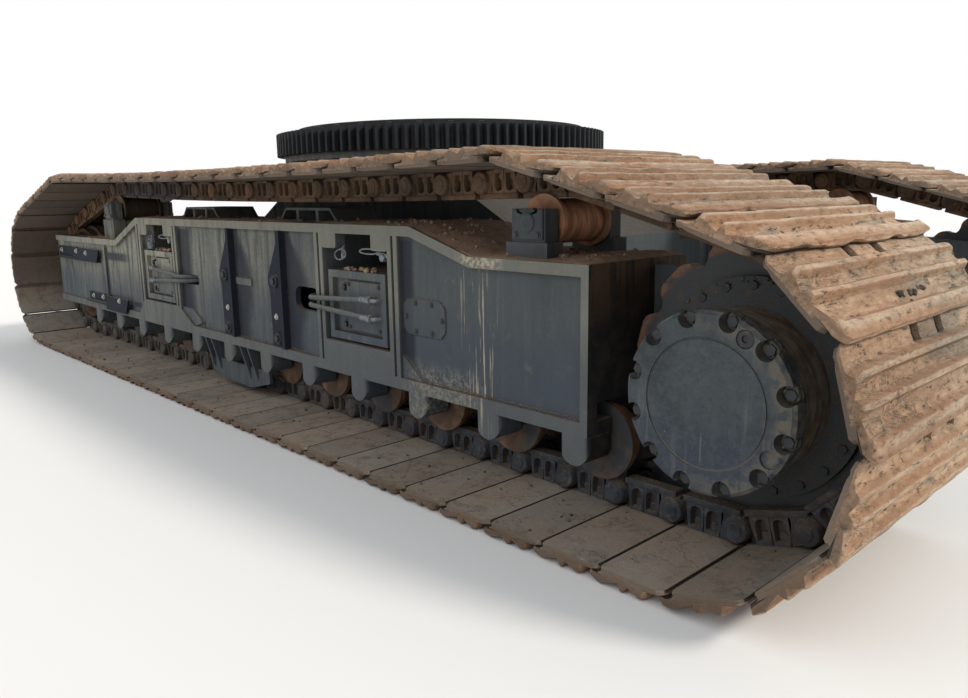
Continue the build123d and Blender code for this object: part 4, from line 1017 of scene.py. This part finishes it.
def makeCarrierFittings(side):
    # keeper plate with an ear at each top corner, the axle's end disc and two bolts, on both faces
    ears = np.array([(-0.068, -0.054), (0.068, -0.054), (0.068, 0.043), (0.05, 0.043), (0.044, 0.031),
                     (0.024, 0.046), (-0.024, 0.046), (-0.044, 0.031), (-0.05, 0.043), (-0.068, 0.043)])
    face, disc = carrier["face"], carrier["disc"]
    top = face + carrier["plate"]
    end = [(face, disc), (top + 0.004, disc), (top + 0.006, disc - 0.003), (top + 0.0055, 0.012),
           (top + 0.003, 0.009)]
    shapes = []
    for x in carrier["at"]:
        z = topPinZ(x) - carrier["drop"]
        shapes.append(rounded(ears + np.array([x, z]), ((face - 0.012, 0), (top - 0.001, 0), (top, 0.0015))))
        shapes.append(lathe(end, x, z, 24))
        places = [(x + i, top, z - 0.04) for i in (-0.05, 0.05)]
        shapes.append(copies(boltShape(0.0085, 0.009, 0.012), places, [0.3, 1.1]))
    whole = joinShapes(shapes)
    onCrawler(side, "CarrierFittings", [whole, mirrored(whole)], "slateBody", "slate_paint")


hoseEnds = {"at": [(-1.032, 0.655, -1), (-1.032, 0.58, -1), (1.187, 0.65, 1), (1.187, 0.575, 1)], "y": 0.276,
            "panelY": 0.232, "bend": 0.024}


def hoseEnd(x, z, way):
    # a crimped sleeve, a hexagonal nut and an elbow that turns down into the beam's panel
    y, low, bend = hoseEnds["y"], hoseEnds["panelY"], hoseEnds["bend"]

    def along(*steps):
        return [(x + way * step, y, z) for step in steps]

    foot = x + way * 0.05
    sleeve = tube(along(-0.052, -0.05, -0.036, -0.034, -0.03, -0.028, -0.014, -0.012, -0.002),
                  [0.0115, 0.0138, 0.0138, 0.0126, 0.0126, 0.0138, 0.0138, 0.0128, 0.0128], 14)
    nut = tube(along(-0.004, -0.002, 0.016, 0.018), [0.013, 0.0175, 0.0175, 0.013], 6)
    curve = [(x + way * (0.026 + bend * math.sin(a)), y - bend + bend * math.cos(a), z)
             for a in np.linspace(0, math.pi / 2, 7)]
    elbow = tube(along(0.014, 0.022) + curve + [(foot, low, z)], 0.0095, 12)
    levels = ((low - 0.006, 0), (low + 0.012, 0), (low + 0.014, 0.002))
    return joinShapes([sleeve, nut, elbow, rounded(circlePoints(foot, z, 0.0165, 6), levels)])


def makeHoseEnds(side):
    onCrawler(side, "HoseEnds", [hoseEnd(*place) for place in hoseEnds["at"]], "fitting", "hose_rubber")


def wireRing(x, y, z, wide, tall, radius, lean):
    # an oval of wire in the plane of the web, leaning outwards at its foot
    c, s = (turned(np.linspace(0, 2 * math.pi, 33)) for turned in (np.cos, np.sin))
    return tube(np.column_stack([x + wide * c, y - lean * s, z + tall * s]), radius, 6)


def makeLinchPins(side):
    # the pins that lock both beams hang in the windows' lugs on their rings
    shapes = []
    for x in beamX:
        shapes.append(tube([(x - 0.135, 0.216, 0.858), (x - 0.135, 0.216, 0.8)], 0.011, 12))
        shapes.append(wireRing(x - 0.108, 0.25, 0.822, 0.04, 0.021, 0.0034, 0.006))
        bar = [(x + 0.15, 0.248, 0.838), (x + 0.154, 0.248, 0.838), (x + 0.228, 0.248, 0.826)]
        shapes.append(tube(bar, [0.007, 0.01, 0.01], 12))
        shapes.append(wireRing(x + 0.095, 0.25, 0.842, 0.062, 0.01, 0.0034, 0.003))
        nut = circlePoints(x + 0.196, 0.822, 0.017, 6)
        shapes.append(rounded(nut, ((0.235, 0), (0.262, 0), (0.264, 0.002))))
    tail = beamX[0] - 0.15
    shapes.append(tube([(tail, 0.224, z) for z in (0.764, 0.826, 0.83)], [0.025, 0.025, 0.022], 16))
    shapes.append(wireRing(tail, 0.224, 0.836, 0.034, 0.007, 0.0035, 0.012))
    onCrawler(side, "LinchPins", shapes, "fitting", "worn_steel")


# Weld beads, as lines of (x, z) on the outer web.

weld = {"radius": 0.0042, "step": 0.008, "y": 0.2405, "low": 0.358, "high": 0.909, "flange": 0.3595,
        "edge": 0.23, "ripple": 0.0052}


def weldLines():
    low, high, flange = weld["low"], weld["high"], weld["flange"]
    lines = [[(-1.8835, low), (-1.8835, 0.7655), (-2.873, 0.7655)]]
    for x in beamX:
        for side in (-1, 1):
            for past in (0.0655, 0.0255):
                at = x + side * weld["edge"] + side * past
                lines.append([(at, low), (at, high)])
    # round the small cover, whose corners are cut
    x0, x1, z0, z1, cut = 1.378, 1.617, 0.538, 0.674, 0.036
    lines += [[(0.1595, 0.629), (0.1595, 0.665)], [(0, 0.6655), (0.1595, 0.6655)],
              [(x0, z0 + cut), (x0 + cut, z0), (x1 - cut, z0), (x1, z0 + cut), (x1, z1 - cut), (x1 - cut, z1),
               (x0 + cut, z1), (x0, z1 - cut), (x0, z0 + cut)],
              [(-0.542, 0.4535), (-0.4205, 0.387), (-0.4205, low)], [(1.3605, 0.453), (1.4935, low)]]
    return lines + [[(start, flange), (end, flange)] for start, end in
                    ((1.366, 2.272), (-0.4, 0.78), (-1.88, -1.26))]


def makeWelds(side):
    rng = np.random.default_rng(31 if side == "near" else 32)
    shapes = []
    for corners in weldLines():
        flat = np.array(corners)
        reach = np.concatenate([[0], np.cumsum(np.linalg.norm(np.diff(flat, axis=0), axis=1))])
        at = np.linspace(0, reach[-1], max(4, int(reach[-1] / weld["step"])))
        path = level(np.column_stack([np.interp(at, reach, flat[:, axis]) for axis in (0, 1)]), weld["y"])
        path += rng.normal(0, 0.0004, path.shape)
        radii = weld["radius"] * (1 + 0.16 * np.sin(at / weld["ripple"]) + rng.uniform(-0.08, 0.08, len(at)))
        shapes.append(tube(path, radii, 6))
    onCrawler(side, "WeldBeads", shapes, "slate", "slate_paint", 60)


# Dirt: layers on the side frames, clods on them and on the shoes, and clumps of mud outside.

dirt = {"rows": 280, "columns": 26, "from": -2.24, "to": 2.29, "half": 0.256, "thick": 0.02, "clods": 420,
        "specks": 420, "clumps": 22, "stones": 26, "inPocket": 13, "onFlange": 110, "inClump": 16,
        "rim": -0.001, "below": 0.016, "pocketEdge": 0.243, "beamTop": 0.756}
topLine = np.array([(-2.873, 0.8), (-1.633, 0.8), (-1.241, 0.947), (1.439, 0.947), (1.766, 0.85),
                    (2.297, 0.85)])


def frameTop(x):
    return np.interp(x, topLine[:, 0], topLine[:, 1])


def dirtDepth(x, y, side):
    # depth of the dirt: deep near the drive and in the middle, thin and patchy towards the rim
    seed = 41 if side == "near" else 51
    spot = np.stack([x, y, 0 * x], -1)
    lumps = softNoise(spot, seed, 0.22) * 0.5 + softNoise(spot, seed + 1, 0.07) * 0.3
    lumps = lumps + softNoise(spot, seed + 2, 0.025) * 0.2
    near = np.clip((x - 1) / 0.8, 0, 1)
    middle = np.clip((dirt["half"] - np.abs(y)) / 0.07, 0, 1)
    return dirt["thick"] * ((0.12 + 0.45 * near) * middle + (0.35 + 0.2 * near) * lumps * middle) - 0.0004


def makeDirtLayer(side):
    x = np.linspace(dirt["from"], dirt["to"], dirt["rows"])
    y = np.linspace(-dirt["half"], dirt["half"], dirt["columns"])
    xx, yy = np.meshgrid(x, y, indexing="ij")
    depth = dirtDepth(xx, yy, side)
    depth[:, [0, -1]] = dirt["rim"]
    depth[[0, -1]] = dirt["rim"]
    upper = np.stack([xx, yy, frameTop(xx) + depth], -1)
    lower = np.stack([xx, yy, frameTop(xx) - dirt["below"]], -1)[:, ::-1]
    onCrawler(side, "FrameDirt", [capped(np.concatenate([upper, lower], 1))], "dirt", "slate_paint", 80)


def clodShape(seed):
    # a lump of some fifty faces: a small ball of rings, pushed in and out
    rng = np.random.default_rng(seed)
    rings = []
    for height in (-0.85, -0.4, 0.15, 0.62, 0.93):
        a = np.arange(6) * math.pi / 3 + rng.uniform(0, 1)
        reach = math.sqrt(1 - height * height) * rng.uniform(0.65, 1.3, 6)
        rings.append(np.column_stack([reach * np.cos(a), reach * np.sin(a), np.full(6, height * 0.75)]))
    return capped(rings)


def scattered(places, sizes, seed):
    # lumps of three kinds at many places
    turns = np.random.default_rng(seed).uniform(0, 6.28, len(places))
    return joinShapes([copies(clodShape(seed + kind), places[kind::3], turns[kind::3], sizes[kind::3])
                       for kind in range(3)])


def makeClods(side):
    seed = 61 if side == "near" else 71
    rng = np.random.default_rng(seed)
    count = dirt["clods"]
    nearDrive = rng.uniform(size=count) < 0.55
    x = np.where(nearDrive, rng.uniform(1.2, 2.28, count), rng.uniform(dirt["from"], 1.3, count))
    y = rng.uniform(-1, 1, count) * (dirt["half"] - 0.01)
    sizes = 0.0025 + 0.0085 * rng.uniform(size=count) ** 3
    z = frameTop(x) + np.clip(dirtDepth(x, y, side), 0, None) + sizes * 0.35
    lumps = [scattered(np.column_stack([x, y, z]), sizes, seed)]
    # stones and earth on the beams in both windows
    count = dirt["stones"]
    for beam in beamX:
        sizes = 0.004 + 0.011 * rng.uniform(size=count) ** 2
        places = np.column_stack([beam + rng.uniform(-0.1, 0.11, count), rng.uniform(0.2, 0.246, count),
                                  dirt["beamTop"] + sizes * 0.5])
        lumps.append(scattered(places, sizes, seed + 5))
    onCrawler(side, "FrameClods", lumps, "dirt", "slate_paint", 70)


def makeHubDirt(side):
    # earth packed round the bolts in the cover's pockets, and lying on the sprocket's flange
    seed = 101 if side == "near" else 111
    rng = np.random.default_rng(seed)
    middle = np.array([layout["sprocketX"], 0, sprocketZ])
    degrees = np.repeat(pocketTurns, dirt["inPocket"])
    count = len(degrees)
    spread, around = rng.uniform(0.015, 0.0225, count), rng.uniform(0, 2 * math.pi, count)
    sizes = rng.uniform(0.0035, 0.0075, count)
    places = aroundAxle(hub["pocketR"], degrees, hub["pocketY"] + rng.uniform(0, 0.02, count))
    places = places + np.column_stack([spread * np.cos(around), 0 * spread, spread * np.sin(around)])
    inside = np.hypot(places[:, 0] - middle[0], places[:, 2] - middle[2]) < dirt["pocketEdge"]
    lumps = [scattered(places[inside], sizes[inside], seed)]
    # a fill in each pocket, kept inside the cover's rim
    fill = rounded(circlePoints(0, 0, 0.0262, 18), ((-0.001, 0), (0.011, 0), (0.016, 0.004), (0.018, 0.01)))
    homes = aroundAxle(hub["pocketR"], pocketTurns, hub["pocketY"])
    points, quads, tris = copies(fill, homes, rng.uniform(0, 6, len(homes)))
    away = points + rng.normal(0, 0.0007, points.shape) - middle
    keep = np.minimum(1, hub["rimR"] / np.hypot(away[:, 0], away[:, 2]))
    lumps.append((middle + away * np.column_stack([keep, np.ones(len(keep)), keep]), quads, tris))
    count = dirt["onFlange"]
    degrees, reach = rng.normal(88, 34, count), rng.uniform(0.262, 0.315, count)
    sizes = 0.002 + 0.006 * rng.uniform(size=count) ** 2
    lumps.append(scattered(aroundAxle(reach, degrees, hub["flangeY"] + sizes * 0.4), sizes, seed + 4))
    onCrawler(side, "HubDirt", lumps, "mud", "slate_paint", 70)


def linkPlaces(index, share, y, out):
    # places on chosen links: share of the link, Y, distance out from the pin line
    along = (share * linkLength[index])[:, None]
    return level(pins[index] + linkAlong[index] * along + linkOut[index] * out[:, None], y)


def makeShoeDirt(side):
    # specks trodden on the lower run's inside, and clumps of mud that ride round outside
    seed = 81 if side == "near" else 91
    rng = np.random.default_rng(seed)
    count = dirt["specks"]
    lower = np.flatnonzero((pins[:, 1] < 0.1) | (nextPins[:, 1] < 0.1))
    index = rng.choice(lower, count)
    y = rng.choice([-1, 1], count) * rng.uniform(0.135, 0.485, count)
    sizes = 0.0018 + 0.0055 * rng.uniform(size=count) ** 4
    specks = linkPlaces(index, rng.uniform(0.18, 0.92, count), y, shoe["seat"] - sizes * 0.4)
    lumps = [scattered(specks, sizes, seed)]
    upper = np.flatnonzero((linkOut[:, 1] > 0.35) & (pins[:, 0] > -2.4))
    count = dirt["inClump"]
    for clump in range(dirt["clumps"]):
        home, middle = rng.choice(upper), rng.uniform(-0.42, 0.42)
        sizes = 0.003 + 0.011 * rng.uniform(size=count) ** 2
        y = np.clip(middle + rng.normal(0, 0.045, count), -0.48, 0.48)
        share = np.clip(rng.choice([0.25, 0.62]) + rng.normal(0, 0.05, count), 0.15, 0.9)
        places = linkPlaces(np.full(count, home), share, y, shoe["seat"] + 0.022 + sizes * 0.3)
        lumps.append(scattered(places, sizes, seed + clump + 3))
    onCrawler(side, "ShoeDirt", lumps, "mud", "shoe_steel", 70)


# The turning ring's and swivel's fittings.

ring = {"bolts": 36, "boltR": 0.896, "start": 0.04, "top": 1.407, "ports": 4, "portZ": (1.343, 1.387),
        "union": (0.158, 0.164, 0.18, 0.182), "pipe": (0.178, 0.205)}


def makeRingFittings():
    a = np.arange(ring["bolts"]) * 2 * math.pi / ring["bolts"] + ring["start"]
    points, quads, tris = boltShape(0.015, 0.014, 0.021)
    upright = outward((points[:, [0, 2, 1]], quads, tris))
    circle = ring["boltR"] * np.column_stack([np.cos(a), np.sin(a)])
    places = np.column_stack([circle, np.full(len(a), ring["top"])])
    toMesh("RingBolts", copies(upright, places), "carbody", "ring", "ring_steel")
    shapes = []
    for row, z in enumerate(ring["portZ"]):
        for port in range(ring["ports"]):
            turn = math.radians(90 * port + 45 * row + 20)
            way = np.array([math.cos(turn), math.sin(turn), 0])
            union, pipe = (np.array(ring[key])[:, None] * way + [0, 0, z] for key in ("union", "pipe"))
            shapes += [tube(union, [0.021, 0.0245, 0.0245, 0.021], 6), tube(pipe, 0.0135, 12)]
    toMesh("SwivelUnions", joinShapes(shapes), "carbody", "fitting", "dark_paint")


print("piece helpers ready")

stages = {
    "track": (makeTrackShoes, makeTrackChain),
    "fittings": (makeBolts, makeHubBolts, makeCarrierFittings, makeHoseEnds, makeLinchPins, makeWelds),
    "dirt": (makeDirtLayer, makeClods, makeHubDirt, makeShoeDirt),
}
for side in ("near", "far"):
    for stageName, makers in stages.items():
        for make in makers:
            make(side)
        print(side, stageName, "ready")
makeRingFittings()
print("ring fittings ready")


# Floor, light and camera.

stage = {"floorSize": 60, "sun": 2.2, "front": 0.7, "fill": 0.75}


def makeFloor():
    half = stage["floorSize"] / 2
    mesh = bpy.data.meshes.new("floor")
    square = [(-half, -half, 0), (half, -half, 0), (half, half, 0), (-half, half, 0)]
    mesh.from_pydata(square, [], [(0, 1, 2, 3)])
    floor = bpy.data.objects.new("floor", mesh)
    bpy.context.scene.collection.objects.link(floor)
    f = Finish("floorFinish")
    colour = f.coat("floor", (f.noise(6, 4) * 0.1, "floorGrain"))
    mesh.materials.append(f.done(colour, 0.9, 0, None, 0.001, 0.1))


def makeLight(name, direction, strength, colour, angle):
    lamp = bpy.data.lights.new(name, "SUN")
    lamp.energy = strength
    lamp.color = colour
    lamp.angle = math.radians(angle)
    holder = bpy.data.objects.new(name, lamp)
    holder.rotation_euler = Vector(direction).to_track_quat("Z", "Y").to_euler()
    bpy.context.scene.collection.objects.link(holder)


def makeWorld():
    # soft light from all round; what the camera and reflections see of it is white
    world = bpy.data.worlds.new("studio")
    world.use_nodes = True
    bpy.context.scene.world = world
    tree = world.node_tree
    tree.nodes.clear()
    start = Sock(tree, None)
    path = tree.nodes.new("ShaderNodeLightPath")
    seen = Sock(tree, path.outputs["Is Camera Ray"]) + Sock(tree, path.outputs["Is Transmission Ray"])
    seen = seen + Sock(tree, path.outputs["Is Glossy Ray"])
    soft = start.node("Background", {}, {"Color": (0.93, 0.96, 1, 1), "Strength": stage["fill"]})
    white = start.node("Background", {}, {"Color": (1, 1, 1, 1), "Strength": 1})
    both = start.node("MixShader", {}, {0: seen.clamp(), 1: soft, 2: white})
    end = tree.nodes.new("ShaderNodeOutputWorld")
    tree.links.new(both.out, end.inputs[0])


camera = {"place": (3.806, -3.273, 1.065), "yaw": 46.58, "pitch": 11.05, "roll": -0.85, "lens": 29.73}


def makeCamera():
    # level and looking along +Y it stands 90 degrees up from straight down
    turns = ((camera["yaw"], "Z"), (90 - camera["pitch"], "X"), (camera["roll"], "Z"))
    yaw, tilt, roll = (Matrix.Rotation(math.radians(angle), 4, axis) for angle, axis in turns)
    lens = bpy.data.cameras.new("camera")
    lens.lens = camera["lens"]
    lens.sensor_width = 36
    lens.clip_end = 200
    holder = bpy.data.objects.new("camera", lens)
    holder.matrix_world = Matrix.Translation(camera["place"]) @ yaw @ tilt @ roll
    bpy.context.scene.collection.objects.link(holder)
    bpy.context.scene.camera = holder


makeFloor()
makeWorld()
makeLight("key", (1, 0.4, 0.9), stage["sun"], (1, 0.95, 0.87), 12)
makeLight("front", (-0.1, -1, 0.7), stage["front"], (0.95, 0.97, 1), 60)
makeCamera()
bpy.context.scene.view_settings.view_transform = "Standard"
print("stage ready")
